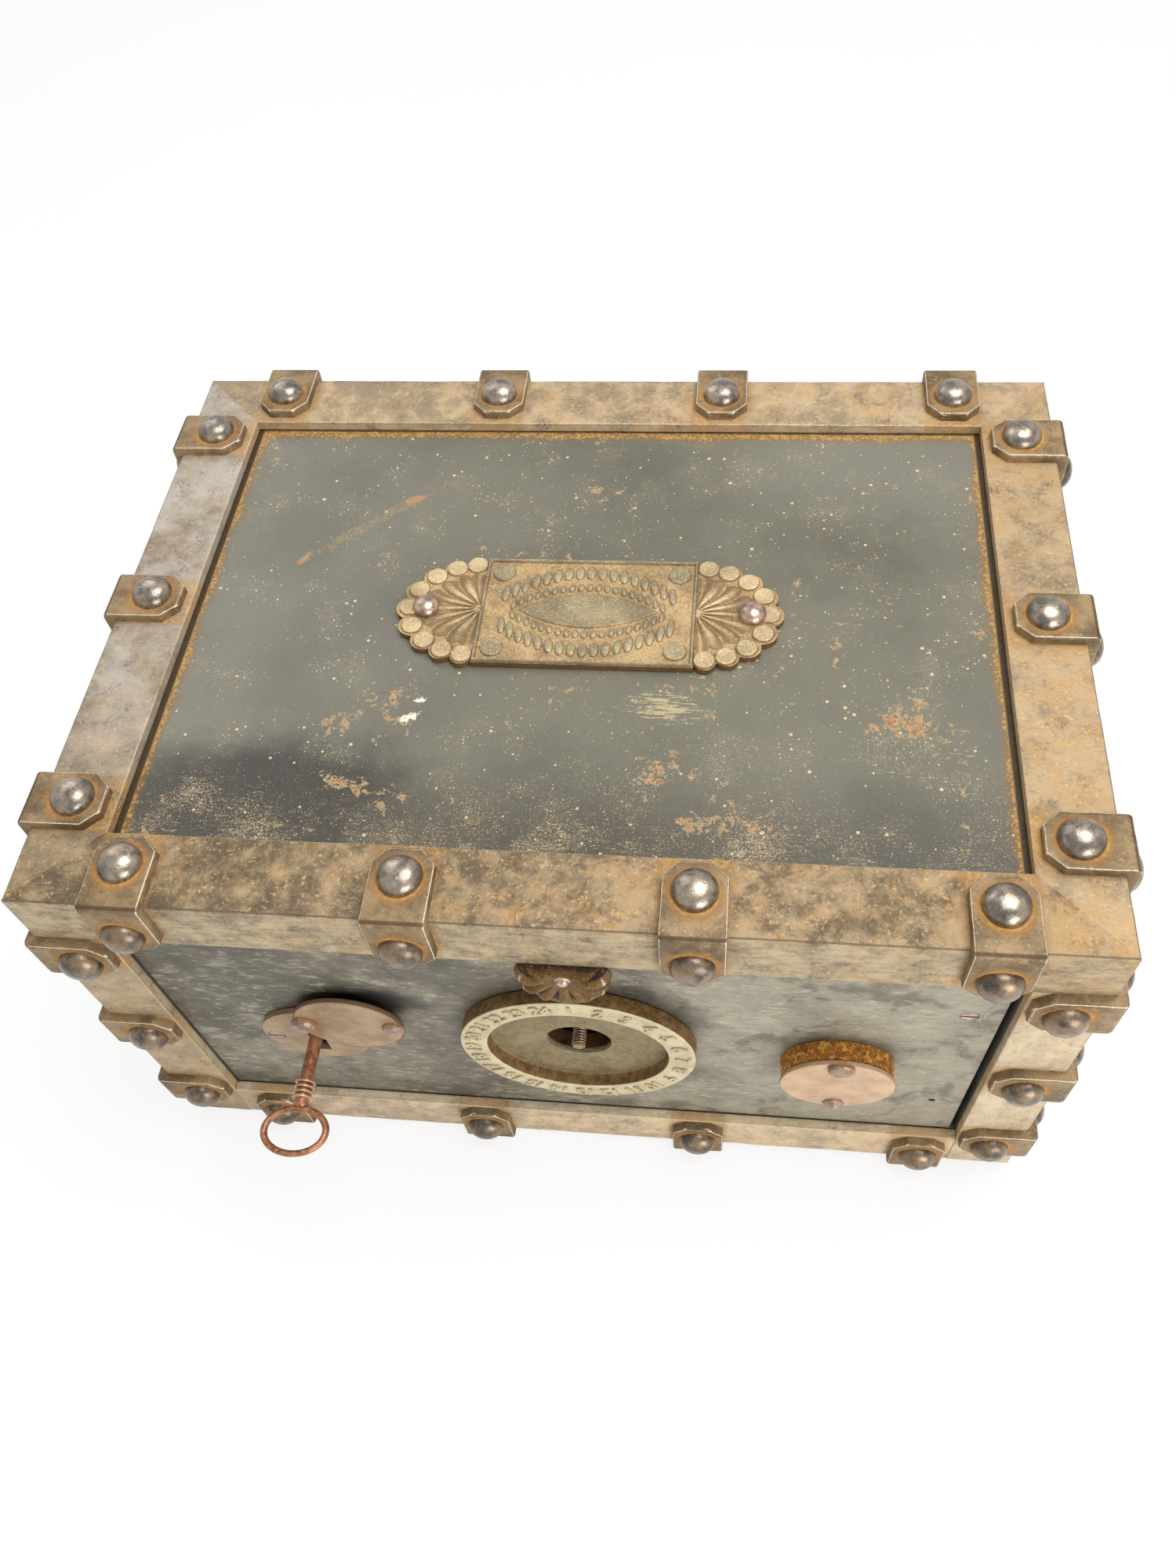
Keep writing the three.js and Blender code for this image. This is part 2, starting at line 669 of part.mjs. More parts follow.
function addDial(group) {
  const front = fittingBack - dialThickness;
  const floorFront = fittingBack - dialFloor;
  const dial = turnedAlongY(0, 0, [
    [dialHoleRadius, fittingBack], [dialRadius, fittingBack], [dialRadius, front + 0.8],
    [dialRadius - 0.8, front], [dialInnerRadius, front], [dialInnerRadius, floorFront],
    [dialHoleRadius, floorFront], [dialHoleRadius, fittingBack],
  ]);
  addPiece(group, 'dial_ring', dial, colours.cast);
}

// One petal of the rosette: a long drop that starts at the screw and points outwards
function rosettePetal(angle) {
  const geometry = new THREE.SphereGeometry(1, 8, 8);
  geometry.scale(rosetteRadius * 0.42, 4.2, rosetteRadius * 0.29);
  geometry.translate(rosetteRadius * 0.58, 0, 0);
  geometry.rotateY(angle);
  geometry.translate(0, -0.4, 0);
  return toSolid(geometry);
}

function addRosette(group) {
  const ceiling = openingHigh - seatGap - rosetteZ;
  const bossZ = ceiling - rosetteBossRadius;
  const petals = Array.from({ length: rosettePetals }, (_, i) => {
    const turn = i / (rosettePetals - 1) - 0.5;
    return rosettePetal(Math.PI / 2 + turn * THREE.MathUtils.degToRad(200));
  });
  const boss = turnedAlongY(0, bossZ, [
    [0, -2.6], [rosetteBossRadius - 2, -2.6], [rosetteBossRadius, -1], [rosetteBossRadius, fittingBack],
    [0, fittingBack],
  ]);
  const heart = rodAlongY(0, 0, 6, rosetteSeat, fittingBack);
  const back = rodAlongY(0, 0, rosetteRadius * 0.8, 0.4, fittingBack);
  const space = block(-2 * rosetteRadius, 2 * rosetteRadius, -20, fittingBack, -2 * rosetteRadius, ceiling);
  const shank = rodAlongY(0, 0, coverShankRadius + seatGap, -9, fittingBack + 1);
  const headSpace = rodAlongY(0, 0, rosetteScrewRadius + seatGap, -9, rosetteSeat);
  const rosette = cut(join([...petals, boss, heart, back]).intersect(space), [shank, headSpace]);
  addPiece(group, 'rosette', rosette, colours.cast);

  const headBack = rosetteSeat - seatGap;
  const head = turnedAlongY(0, 0, domeProfile(rosetteScrewRadius, 1.8, 0)).translate([0, headBack, 0]);
  const stem = rodAlongY(0, 0, coverShankRadius, headBack - 1, doorBack - 3);
  addPiece(group, 'rosette_screw', join([head, stem]), colours.steel);
}

// A round cover hanging from its pivot rivet, with a knob at its far edge, swung by turn radians
function addCover(group, side, front, knobProfile, headRise, turn) {
  const back = front + coverThickness;
  const disc = rodAlongY(0, -coverPivotRise, escutcheonRadius, front, back);
  const knob = turnedAlongY(0, 0, knobProfile).translate([0, front, -2 * coverPivotRise]);
  const pivotHole = rodAlongY(0, 0, coverShankRadius + seatGap, front - 1, back + 1);
  const cover = addPiece(group, `${side}_cover`, cut(join([disc, knob]), [pivotHole]), colours.steel);
  cover.position.set(0, 0, coverPivotRise);
  cover.rotation.y = turn;
  const seat = front - seatGap;
  const head = turnedAlongY(0, 0, domeProfile(coverHeadRadius, headRise, 0.4)).translate([0, seat - 0.4, 0]);
  const rivet = join([head, rodAlongY(0, 0, coverShankRadius, seat - 0.4, doorBack - 3)]);
  addPiece(group, `${side}_cover_pivot`, rivet, colours.steel).position.set(0, 0, coverPivotRise);
}

// Everything about a keyhole stands in a group whose origin is the key's line
function addLeftEscutcheon(group) {
  const discFront = fittingBack - leftDiscThickness;
  const screwAt = escutcheonScrewPlace;
  const hole = coverShankRadius + seatGap;
  const disc = cut(rodAlongY(0, 0, escutcheonRadius, discFront, fittingBack), [
    keyholeSpace(discFront - 1, fittingBack + 1),
    rodAlongY(0, coverPivotRise, hole, discFront - 1, fittingBack + 1),
    rodAlongY(...screwAt, hole, discFront - 1, fittingBack + 1),
    rodAlongY(...screwAt, escutcheonScrewRadius + seatGap, discFront - 1, discFront + screwHeadDepth + seatGap),
  ]);
  addPiece(group, 'left_escutcheon', disc, colours.steel);
  const screw = slottedScrew(escutcheonScrewRadius, discFront, discFront + screwHeadDepth, doorBack - 3);
  addPiece(group, 'escutcheon_screw', screw, colours.steel).position.set(screwAt[0], 0, screwAt[1]);
  const coverFront = discFront - seatGap - coverThickness;
  addCover(group, 'left', coverFront, domeProfile(coverHeadRadius - 0.4, 1.6, 0.5), 1.8, leftCoverTurn);
}

function addRightEscutcheon(group) {
  const ringFront = fittingBack - rightRingThickness;
  const ring = cut(rodAlongY(0, 0, escutcheonRadius - 0.2, ringFront, fittingBack), [
    keyholeSpace(ringFront - 1, fittingBack + 1),
    rodAlongY(0, coverPivotRise, coverShankRadius + seatGap, ringFront - 1, fittingBack + 1),
  ]);
  addPiece(group, 'right_escutcheon', ring, colours.plate);
  const thumb = [[0, -3.4], [1.6, -3], [4.6, -0.9], [4.9, 0.5], [0, 0.5]];
  addCover(group, 'right', ringFront - seatGap - coverThickness, thumb, 1, 0);
}

function lockCaseSolid() {
  const outer = block(-lockLeft - lockWall, lockRight + lockWall, caseFront, lockBack,
    -lockBelow - lockWall, lockAbove + lockWall);
  const inside = block(-lockLeft, lockRight, caseFront - 1, lockFloor, -lockBelow, lockAbove);
  const boltWay = block(-lockLeft - lockWall - 1, -lockLeft + 1, caseFront - 1, boltBack + slideGap,
    boltLow - slideGap, boltLow + boltHeight + slideGap);
  const tipHole = rodAlongY(0, 0, keyTipRadius + seatGap, lockFloor - 1, lockBack + 1);
  const post = rodAlongY(leverPivotX, leverPivotZ, leverPostRadius, leverFront, lockFloor + 1);
  return join([cut(outer, [inside, boltWay, tipHole]), post]);
}

function boltSolid(headEnd) {
  const high = boltLow + boltHeight;
  const notchLeft = boltThrow - bitThickness / 2 - 0.6;
  const notchRight = boltTail - 4.5;
  const body = block(-headEnd, boltTail, caseFront, boltBack, boltLow, high);
  const head = block(-headEnd, boltHeadLength - headEnd, caseFront, caseFront + boltHeadThickness, boltLow, high);
  const stumpBack = leverFront + bellyHeights.length * (leverThickness + leverSpace);
  const stump = block(-stumpOffset - stumpSize / 2, -stumpOffset + stumpSize / 2, boltBack - 1, stumpBack,
    leverPivotZ - stumpSize / 2, leverPivotZ + stumpSize / 2);
  const notch = block(notchLeft, notchRight, caseFront - 1, boltBack + 1, boltLow - 1, bitRadius + 0.7);
  return cut(join([body, head, stump]), [notch]);
}

// A lever: an arm on its post with a belly that the bit lifts and a window for the bolt's stump
function leverSolid(belly, front) {
  const liftAtStump = (leverPivotX + stumpOffset + boltThrow) * Math.sin(leverLift);
  const half = stumpSize / 2 + 0.6;
  const shape = outline([
    [-leverReach, leverFoot], [-bellyHalfLength - 4, leverFoot], [-bellyHalfLength, belly],
    [bellyHalfLength + 6, belly], [leverPivotX, leverPivotZ - leverBossRadius], [leverPivotX, leverTop],
    [-leverReach, leverTop],
  ]);
  const boss = rodAlongY(leverPivotX, leverPivotZ, leverBossRadius, front, front + leverThickness);
  const window = block(-stumpOffset - boltThrow - half, -stumpOffset + half, front - 1, front + leverThickness + 1,
    leverPivotZ - liftAtStump - half, leverPivotZ + half);
  const postHole = rodAlongY(leverPivotX, leverPivotZ, leverPostRadius + seatGap, front - 1, front + leverThickness + 1);
  return cut(join([plateAlongY(shape, front, front + leverThickness), boss]), [window, postHole]);
}

// Leaf springs over the levers, drawn as they stand with the levers lifted
function springSolid() {
  const tipClear = (leverPivotX + springTip) * Math.sin(leverLift) + 0.5;
  const blade = outline([
    [springRoot, lockAbove - 3], [-springTip, leverTop + tipClear],
    [-springTip, leverTop + tipClear + springThickness], [springRoot, lockAbove - 3 + springThickness],
  ]);
  const pitch = leverThickness + leverSpace;
  const blades = bellyHeights.map((_, i) => {
    const front = leverFront + i * pitch + 0.4;
    return plateAlongY(blade, front, front + leverThickness - 0.8);
  });
  const foot = block(22, lockRight - seatGap, leverFront, leverFront + bellyHeights.length * pitch - leverSpace,
    lockAbove - 4, lockAbove - seatGap);
  return join([foot, ...blades]);
}

// A lock's works around its key. They are drawn for the left lock, and the right lock has the other hand.
function addLock(group, side) {
  const left = side === 'left';
  const handed = (solid) => (left ? solid : solid.mirror([1, 0, 0]));
  const headEnd = (left ? leftLockX - caseLeft : caseRight - rightLockX) - seatGap;
  addPiece(group, `${side}_lock_case`, handed(lockCaseSolid()), colours.lock);
  addPiece(group, `${side}_bolt`, handed(boltSolid(headEnd)), colours.lock);
  bellyHeights.forEach((belly, i) => {
    const front = leverFront + i * (leverThickness + leverSpace);
    addPiece(group, `${side}_lever_${i + 1}`, handed(leverSolid(belly, front)), colours.brass);
  });
  addPiece(group, `${side}_lever_springs`, handed(springSolid()), colours.lock);
}

// The key: a turned stem with collars, a ring bow lying flat, and a stepped bit that points down
function addKey(group) {
  const collarProfile = [];
  for (let i = keyCollars - 1; i >= 0; i--) {
    const y = -keyCollarStart - i * keyCollarPitch;
    collarProfile.push([keyStemRadius, y - 1.7], [keyCollarRadius, y - 1.4], [keyCollarRadius, y - 0.3], [keyStemRadius, y]);
  }
  const neck = -keyBowCentre + keyBowLength;
  const tipFront = lockFloor - seatGap;
  const stem = turnedAlongY(0, 0, [
    [0, neck], [keyStemRadius, neck], ...collarProfile, [keyStemRadius, tipFront], [keyTipRadius, tipFront],
    [keyTipRadius, lockBack - seatGap], [0, lockBack - seatGap],
  ], keyFlats);
  const ring = new THREE.TorusGeometry(keyBowWidth, keyBowWire, 6, 28);
  ring.scale(1, keyBowLength / keyBowWidth, 1);
  ring.translate(0, -keyBowCentre, 0);
  const bitHalf = bitThickness / 2;
  const bitSlab = (radius, y0, y1) => block(-bitHalf, bitHalf, y0, y1, -radius, 0);
  const pitch = leverThickness + leverSpace;
  const steps = bellyHeights.map((belly, i) => {
    const lifted = belly + leverPivotX * Math.sin(leverLift) - bitClearance;
    const front = leverFront - leverSpace / 2 + i * pitch;
    return bitSlab(lifted, front, front + pitch);
  });
  const boltStep = bitSlab(bitRadius, caseFront + 0.6, leverFront - leverSpace / 2);
  addPiece(group, 'key', join([stem, toSolid(ring), boltStep, ...steps]), colours.key);
}

function addCombination(group) {
  const wall = lockWall;
  const pitch = wheelThickness + wheelSpace;
  const firstWheel = caseFront + 4.5;
  const camFront = firstWheel + wheelCount * pitch;
  const camBack = camFront + 2;
  const bore = spindleRadius + seatGap;
  const pivot = [fencePivotX, fencePivotZ];
  const shell = cut(
    block(-comboHalf - wall, comboHalf + wall, caseFront, lockBack, -comboHalf - wall, comboRise + wall),
    [block(-comboHalf, comboHalf, caseFront - 1, lockFloor, -comboHalf, comboRise)],
  );
  const boss = rodAlongY(0, 0, 8, camBack + seatGap, lockFloor + 1);
  const fencePost = rodAlongY(...pivot, leverPostRadius, firstWheel, lockFloor + 1);
  const body = cut(join([shell, boss]), [rodAlongY(0, 0, bore, camBack, lockBack + 1)]);
  addPiece(group, 'combination_case', join([body, fencePost]), colours.lock);

  const collarFront = firstWheel - 1.6;
  const spindle = turnedAlongY(0, 0, [
    [0, 0.8], [threadRadius, 0.8], [threadRadius, collarFront], [5.6, collarFront], [5.6, firstWheel - seatGap],
    [spindleRadius, firstWheel - seatGap], [spindleRadius, camFront], [camRadius, camFront], [camRadius, camBack],
    [spindleRadius, camBack], [spindleRadius, lockBack - seatGap], [0, lockBack - seatGap],
  ]);
  const camNotch = block(-3, 3, camFront - 1, camBack + 1, -camRadius - 1, -camRadius + 4);
  addPiece(group, 'spindle', cut(spindle, [camNotch]), colours.lock);

  gateAngles.forEach((angle, i) => {
    const front = firstWheel + i * pitch;
    const back = front + wheelThickness;
    const gate = block(-wheelGate / 2, wheelGate / 2, front - 1, back + 1, wheelRadius - 5, wheelRadius + 1)
      .rotate([0, angle, 0]);
    const wheel = cut(rodAlongY(0, 0, wheelRadius, front, back), [
      rodAlongY(0, 0, bore, front - 1, back + 1), gate]);
    addPiece(group, `combination_wheel_${i + 1}`, wheel, colours.brass);
  });

  const fenceLow = wheelRadius + fenceGap;
  const arm = outline([
    [-2, fenceLow], [pivot[0], pivot[1] - 4], [pivot[0], pivot[1] + 4], [-2, fenceLow + 4],
  ]);
  const armBack = firstWheel + 2;
  const fence = cut(join([
    plateAlongY(arm, firstWheel, armBack),
    rodAlongY(...pivot, 4, firstWheel, armBack),
    block(-2, 2, firstWheel, camFront - wheelSpace, fenceLow, fenceLow + 4),
  ]), [rodAlongY(...pivot, leverPostRadius + seatGap, firstWheel - 1, armBack + 1)]);
  addPiece(group, 'fence_lever', fence, colours.lock);
}

const strongbox = new THREE.Group();
for (const side of sides) {
  const sideGroup = new THREE.Group();
  sideGroup.position.set(...side.corner, 0);
  sideGroup.rotation.z = side.quarterTurns * Math.PI / 2;
  strongbox.add(sideGroup);
  addTopIron(sideGroup, side);
  addBottomIron(sideGroup, side);
  addPost(sideGroup, side);
}
addShell(strongbox);
addLinerAndPacking(strongbox);
addBushes(strongbox);
const nameplate = new THREE.Group();
nameplate.position.set(nameX, nameY, 0);
strongbox.add(nameplate);
addNameplate(nameplate);

// The door's group stands on the pivot, so turning it about Z swings the door
const doorHinge = new THREE.Group();
doorHinge.position.set(pivotX, pivotY, 0);
strongbox.add(doorHinge);
const door = new THREE.Group();
door.position.set(-pivotX, -pivotY, 0);
doorHinge.add(door);
addDoorShell(door);
addCaseScrew(door);
const ornament = new THREE.Group();
ornament.position.set(rosetteX, 0, rosetteZ);
door.add(ornament);
addRosette(ornament);
const leftLock = new THREE.Group();
leftLock.position.set(leftLockX, 0, lockZ);
addLeftEscutcheon(leftLock);
addLock(leftLock, 'left');
addKey(leftLock);

const rightLock = new THREE.Group();
rightLock.position.set(rightLockX, 0, lockZ);
addRightEscutcheon(rightLock);
addLock(rightLock, 'right');

const combination = new THREE.Group();
combination.position.set(dialX, 0, dialZ);
addDial(combination);
addCombination(combination);
door.add(leftLock, rightLock, combination);

// The origin is the middle of the footprint, key and rivets included, on the floor
const bounds = new THREE.Box3().setFromObject(strongbox);
const middle = bounds.getCenter(new THREE.Vector3());
strongbox.position.set(-middle.x, -middle.y, -bounds.min.z);

export default strongbox;
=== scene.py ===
"""Iron strongbox, dressed for rendering.

A riveted angle-iron cage round a painted shell, with a front door that carries two key locks, a dial
ring and a cast rosette, and a cast plate on top. Sizes are in millimetres, measured as the maker's
drawing has them: X to the right from the middle, Y back from the cage's front, Z up from its underside.
ORIGIN is where that zero stands in the scene, whose own zero is on the floor under the middle of the
whole part, its key and straps included.
"""
import math

import bmesh
import bpy
import numpy as np
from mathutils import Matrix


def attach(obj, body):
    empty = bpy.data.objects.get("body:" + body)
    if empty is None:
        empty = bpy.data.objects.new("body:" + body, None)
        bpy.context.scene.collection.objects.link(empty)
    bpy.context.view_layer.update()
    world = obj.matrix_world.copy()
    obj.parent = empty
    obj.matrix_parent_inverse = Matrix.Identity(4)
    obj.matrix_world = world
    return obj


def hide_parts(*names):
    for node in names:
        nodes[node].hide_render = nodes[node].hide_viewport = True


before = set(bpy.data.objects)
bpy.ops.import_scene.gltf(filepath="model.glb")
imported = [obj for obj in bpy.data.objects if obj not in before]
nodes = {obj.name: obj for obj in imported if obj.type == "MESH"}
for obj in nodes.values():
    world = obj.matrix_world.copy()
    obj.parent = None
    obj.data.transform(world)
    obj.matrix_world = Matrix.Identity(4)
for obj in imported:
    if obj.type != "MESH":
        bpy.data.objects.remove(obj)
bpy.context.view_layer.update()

# Angle irons. Twelve lengths of rolled angle iron make the cage: four round the top, mitred at the
# corners, four posts, and four round the bottom between the posts.

MM = 0.001
ORIGIN = np.array([0.0, -132.857, 3.2])
CAGE = np.array([420.0, 308.0, 229.0])
IRON = 5.0


def arithmetic(operation, swapped=False):
    """What an operator does to a shader value: it adds the Math node for this operation."""
    def work(value, other):
        return value.maths(operation, *((other, value) if swapped else (value, other)))
    return work


class Value:
    """A shader value. Arithmetic on it adds the Math nodes that work it out, and | takes the larger."""

    __add__ = __radd__ = arithmetic("ADD")
    __mul__ = __rmul__ = arithmetic("MULTIPLY")
    __sub__ = arithmetic("SUBTRACT")
    __rsub__ = arithmetic("SUBTRACT", swapped=True)
    __truediv__ = arithmetic("DIVIDE")
    __pow__ = arithmetic("POWER")
    __or__ = arithmetic("MAXIMUM")

    def __init__(self, finish, socket):
        self.finish, self.socket = finish, socket

    def maths(self, operation, *inputs):
        return self.finish.node("ShaderNodeMath", {"operation": operation}, inputs)

    def over(self, low, high):
        """0 where the value is under low, 1 where it is over high, and smooth between."""
        return self.finish.node(
            "ShaderNodeMapRange", {"interpolation_type": "SMOOTHSTEP"}, {0: self, 1: low, 2: high})


def tone(red, green, blue):
    """A colour given as it looks on a screen, 0 to 255, as linear light."""
    screen = np.array([red, green, blue]) / 255
    light = np.where(screen < 0.04045, screen / 12.92, ((screen + 0.055) / 1.055) ** 2.4)
    return (*light, 1.0)


class Finish:
    """A material made of nodes. A number that is the same all over is set on the shader's own socket."""

    def __init__(self, name, **constants):
        self.material = bpy.data.materials.new(name)
        self.material.use_nodes = True
        self.tree = self.material.node_tree
        self.shader = self.tree.nodes["Principled BSDF"]
        for socket, number in constants.items():
            self.shader.inputs[socket.replace("_", " ")].default_value = number

    def feed(self, socket, value):
        if isinstance(value, Value):
            self.tree.links.new(value.socket, socket)
        else:
            socket.default_value = value

    def node(self, kind, settings, inputs, output=0):
        """Any node: its settings are made first, then its sockets get their values or links."""
        made = self.tree.nodes.new(kind)
        for setting, choice in settings.items():
            setattr(made, setting, choice)
        pairs = inputs.items() if isinstance(inputs, dict) else enumerate(inputs)
        for socket, value in pairs:
            self.feed(made.inputs[socket], value)
        return Value(self, made.outputs[output])

    def place(self, stretch=(1, 1, 1), turn=(0, 0, 0), shift=(0, 0, 0)):
        """The object's own coordinates in millimetres, each divided by its stretch."""
        spot = self.node("ShaderNodeTexCoord", {}, {}, "Object")
        scale = tuple(1 / (MM * s) for s in stretch)
        return self.node("ShaderNodeMapping", {}, {"Vector": spot, "Location": shift, "Rotation": turn,
                                                   "Scale": scale})

    def mark(self, name):
        """A number that the mesh carries at each point."""
        return self.node("ShaderNodeAttribute", {"attribute_name": name}, {}, "Fac")

    def grain(self, size, detail=3, rough=0.55, where=None, warp=0.0):
        """Noise whose blotches are about size millimetres across."""
        return self.node("ShaderNodeTexNoise", {}, {
            "Vector": where or self.place(), "Scale": 1 / size, "Detail": detail, "Roughness": rough,
            "Distortion": warp})

    def cells(self, size, output="Distance"):
        """Distance to the nearest of points scattered about size millimetres apart, or its colour."""
        return self.node("ShaderNodeTexVoronoi", {}, {"Vector": self.place(), "Scale": 1 / size}, output)

    def blob(self, centre, half, turn, through="Z"):
        """Distance from a centre given in the box's millimetres, 1 on an ellipse of these half sizes
        turned by this angle in the face that the through axis goes through."""
        middle = (np.array(centre) + ORIGIN) * MM
        size = (half[0], half[1], 1e3) if through == "Z" else (half[0], 1e3, half[1])
        angles = (0, 0, turn) if through == "Z" else (0, -turn, 0)
        spot = self.node("ShaderNodeTexCoord", {}, {}, "Object")
        inside = self.node("ShaderNodeMapping", {"vector_type": "TEXTURE"}, {
            "Vector": spot, "Location": tuple(middle), "Rotation": angles,
            "Scale": tuple(MM * s for s in size)})
        return self.node("ShaderNodeVectorMath", {"operation": "LENGTH"}, [inside], "Value")

    def part(self, vector, axis):
        """One of a vector's three numbers."""
        return self.node("ShaderNodeSeparateXYZ", {}, {0: vector}, axis)

    def mix(self, factor, first, second):
        """Colour going from first to second as factor goes from 0 to 1."""
        return self.node("ShaderNodeMix", {"data_type": "RGBA"}, {0: factor, 6: first, 7: second}, 2)

    def between(self, factor, first, second):
        """The same for two colours given as they look on a screen."""
        return self.mix(factor, tone(*first), tone(*second))

    def start(self, factor, first, second):
        """The colour that the others are laid over."""
        self.base = self.between(factor, first, second)

    def lay(self, factor, *colour):
        """Lays a colour over what is there as far as factor goes from 0 to 1."""
        over = colour[0] if isinstance(colour[0], Value) else tone(*colour)
        self.base = self.mix(factor, self.base, over)

    def finish(self, rough, height=None, depth=0.3, metal=None):
        """Feeds the shader. height is in units of depth millimetres."""
        for socket, value in (("Base Color", self.base), ("Roughness", rough), ("Metallic", metal)):
            if value is not None:
                self.feed(self.shader.inputs[socket], value)
        if height is not None:
            bump = self.node("ShaderNodeBump", {}, {"Height": height, "Distance": depth * MM})
            self.feed(self.shader.inputs["Normal"], bump)
        return self.material


def closed(name, points, faces, marks, whole=True):
    """An object made of points in millimetres and faces, with its doubles merged and its normals
    outwards. marks are numbers that the points carry. whole also takes out slivers and puts a flat face
    on whatever is open, such as the foot of a rivet head."""
    mesh = bpy.data.meshes.new(name)
    mesh.from_pydata((points + ORIGIN) * MM, [], faces)
    for mark, numbers in marks.items():
        mesh.attributes.new(mark, "FLOAT", "POINT").data.foreach_set("value", numbers.astype("f"))
    work = bmesh.new()
    work.from_mesh(mesh)
    bmesh.ops.remove_doubles(work, verts=work.verts, dist=2e-6)
    if whole:
        bmesh.ops.dissolve_degenerate(work, edges=work.edges, dist=1e-6)
        bmesh.ops.holes_fill(work, edges=[edge for edge in work.edges if edge.is_boundary], sides=0)
    bmesh.ops.recalc_face_normals(work, faces=work.faces)
    work.to_mesh(mesh)
    work.free()
    made = bpy.data.objects.new(name, mesh)
    bpy.context.scene.collection.objects.link(made)
    return made


def skin(name, points, wrap=False, ends=False, crease=40, **marks):
    """Grids of points joined into one mesh.

    points is (grids, rows, columns, 3) in millimetres. Each face joins four neighbours. wrap joins the
    last column to the first. ends fills the first and last row of each grid with one flat face, and a
    row that is drawn together to a point is merged there. Edges sharper than crease degrees stay sharp.
    """
    points = np.asarray(points, float)
    if points.ndim == 3:
        points = points[None]
    count, rows, columns, _ = points.shape
    index = np.arange(count * rows * columns).reshape(count, rows, columns)
    left = index if wrap else index[:, :, :-1]
    right = np.roll(index, -1, axis=2) if wrap else index[:, :, 1:]
    faces = np.stack([left[:, :-1], right[:, :-1], right[:, 1:], left[:, 1:]], -1).reshape(-1, 4).tolist()
    if ends:
        faces += index[:, 0].tolist() + index[:, -1, ::-1].tolist()
    carried = {mark: np.broadcast_to(numbers, index.shape).ravel() for mark, numbers in marks.items()}
    made = closed(name, points.reshape(-1, 3), faces, carried)
    made.data.shade_smooth()
    made.data.set_sharp_from_angle(angle=math.radians(crease))
    return made


def fit(piece, body, finish, node=None):
    """Hangs a piece on its body, with its material and the CAD node that it stands for, if any."""
    piece.data.materials.clear()
    piece.data.materials.append(finish)
    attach(piece, body)
    if node:
        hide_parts(node)


def uneven(points, size, seed, waves=9):
    """Gentle unevenness from -1 to 1: a mean of sine waves in random directions, size mm long."""
    draw = np.random.default_rng(seed)
    way = draw.normal(size=(waves, 3)) / size * 2
    phase = draw.uniform(0, 2 * np.pi, waves)
    return np.sin(points @ way.T + phase).mean(-1) * 1.6


def outline(corners, radii, between):
    """A closed outline. Each corner is a parabola that starts and ends its radius away from the
    corner, and each straight side after it is divided into between parts. Returns the points and
    how near each is to the middle of a corner."""
    corners = np.asarray(corners, float)
    bits, near = [], []
    step = np.linspace(0, 1, 5)[:, None]
    for i, (corner, radius, parts) in enumerate(zip(corners, radii, between)):
        before, after = corners[i - 1], corners[(i + 1) % len(corners)]
        start = corner + radius * (before - corner) / np.linalg.norm(before - corner)
        end = corner + radius * (after - corner) / np.linalg.norm(after - corner)
        bits.append((1 - step) ** 2 * start + 2 * step * (1 - step) * corner + step ** 2 * end)
        near.append(np.array([0, 0.7, 1, 0.7, 0]))
        inside = np.linspace(0, 1, parts + 1)[1:-1, None]
        bits.append(end + inside * (after - end))
        near.append(np.zeros(len(inside)))
    return np.concatenate(bits), np.concatenate(near)


def in_frame(points, setting):
    """Points given along, across and outwards from an iron, put where the iron stands."""
    origin, axes = setting
    return origin + points @ axes


GAP = 0.3
TOP_LEGS = (32.4, 30.6)
POST_LEG = 30.0
POST_TOP = CAGE[2] - TOP_LEGS[1] - GAP
STRAP, STRAP_THICK, FOOT_THICK = 24.8, 4.4, 3.2
TOP_PITCH, BOTTOM_PITCH, SIDE_PITCH, POST_PITCH = 110, 107, 109, 75.0
BOTTOM_FRONT_SHIFT = 3
half_wide = CAGE[0] / 2
feet = ((-half_wide, 0, 0), (half_wide, 0, 0), (half_wide, CAGE[1], 0), (-half_wide, CAGE[1], 0))
irons = []
for turn, side, post in ((0, "front", "front_left"), (1, "right", "front_right"),
                         (2, "back", "back_right"), (3, "left", "back_left")):
    along = np.array([math.cos(turn * math.pi / 2), math.sin(turn * math.pi / 2), 0]).round()
    inward = np.array([-along[1], along[0], 0])
    up = np.array([0, 0, 1.0])
    corner = np.array(feet[turn])
    span = CAGE[turn % 2]
    inner = span - 2 * (POST_LEG + GAP)
    across = turn % 2 == 0
    even = (np.arange(4) - 1.5) if across else (np.arange(3) - 1.0)
    irons += [
        dict(node="top_iron_" + side, setting=(corner + up * CAGE[2], np.array([along, inward, up])),
             length=span, legs=TOP_LEGS, mitre=True, thick=(STRAP_THICK, STRAP_THICK),
             places=span / 2 + even * (TOP_PITCH if across else SIDE_PITCH)),
        dict(node="bottom_iron_" + side,
             setting=(corner + along * (POST_LEG + GAP), np.array([along, up, -inward])),
             length=inner, legs=(POST_LEG, POST_LEG), mitre=False, thick=(STRAP_THICK, FOOT_THICK),
             places=(inner / 2 + even * (BOTTOM_PITCH if across else SIDE_PITCH)
                     + (BOTTOM_FRONT_SHIFT if side == "front" else 0))),
        dict(node="corner_post_" + post, setting=(corner + up * POST_TOP, np.array([-up, along, -inward])),
             length=POST_TOP, legs=(POST_LEG, POST_LEG), mitre=False, thick=(STRAP_THICK, STRAP_THICK),
             places=STRAP / 2 + np.arange(3) * POST_PITCH),
    ]


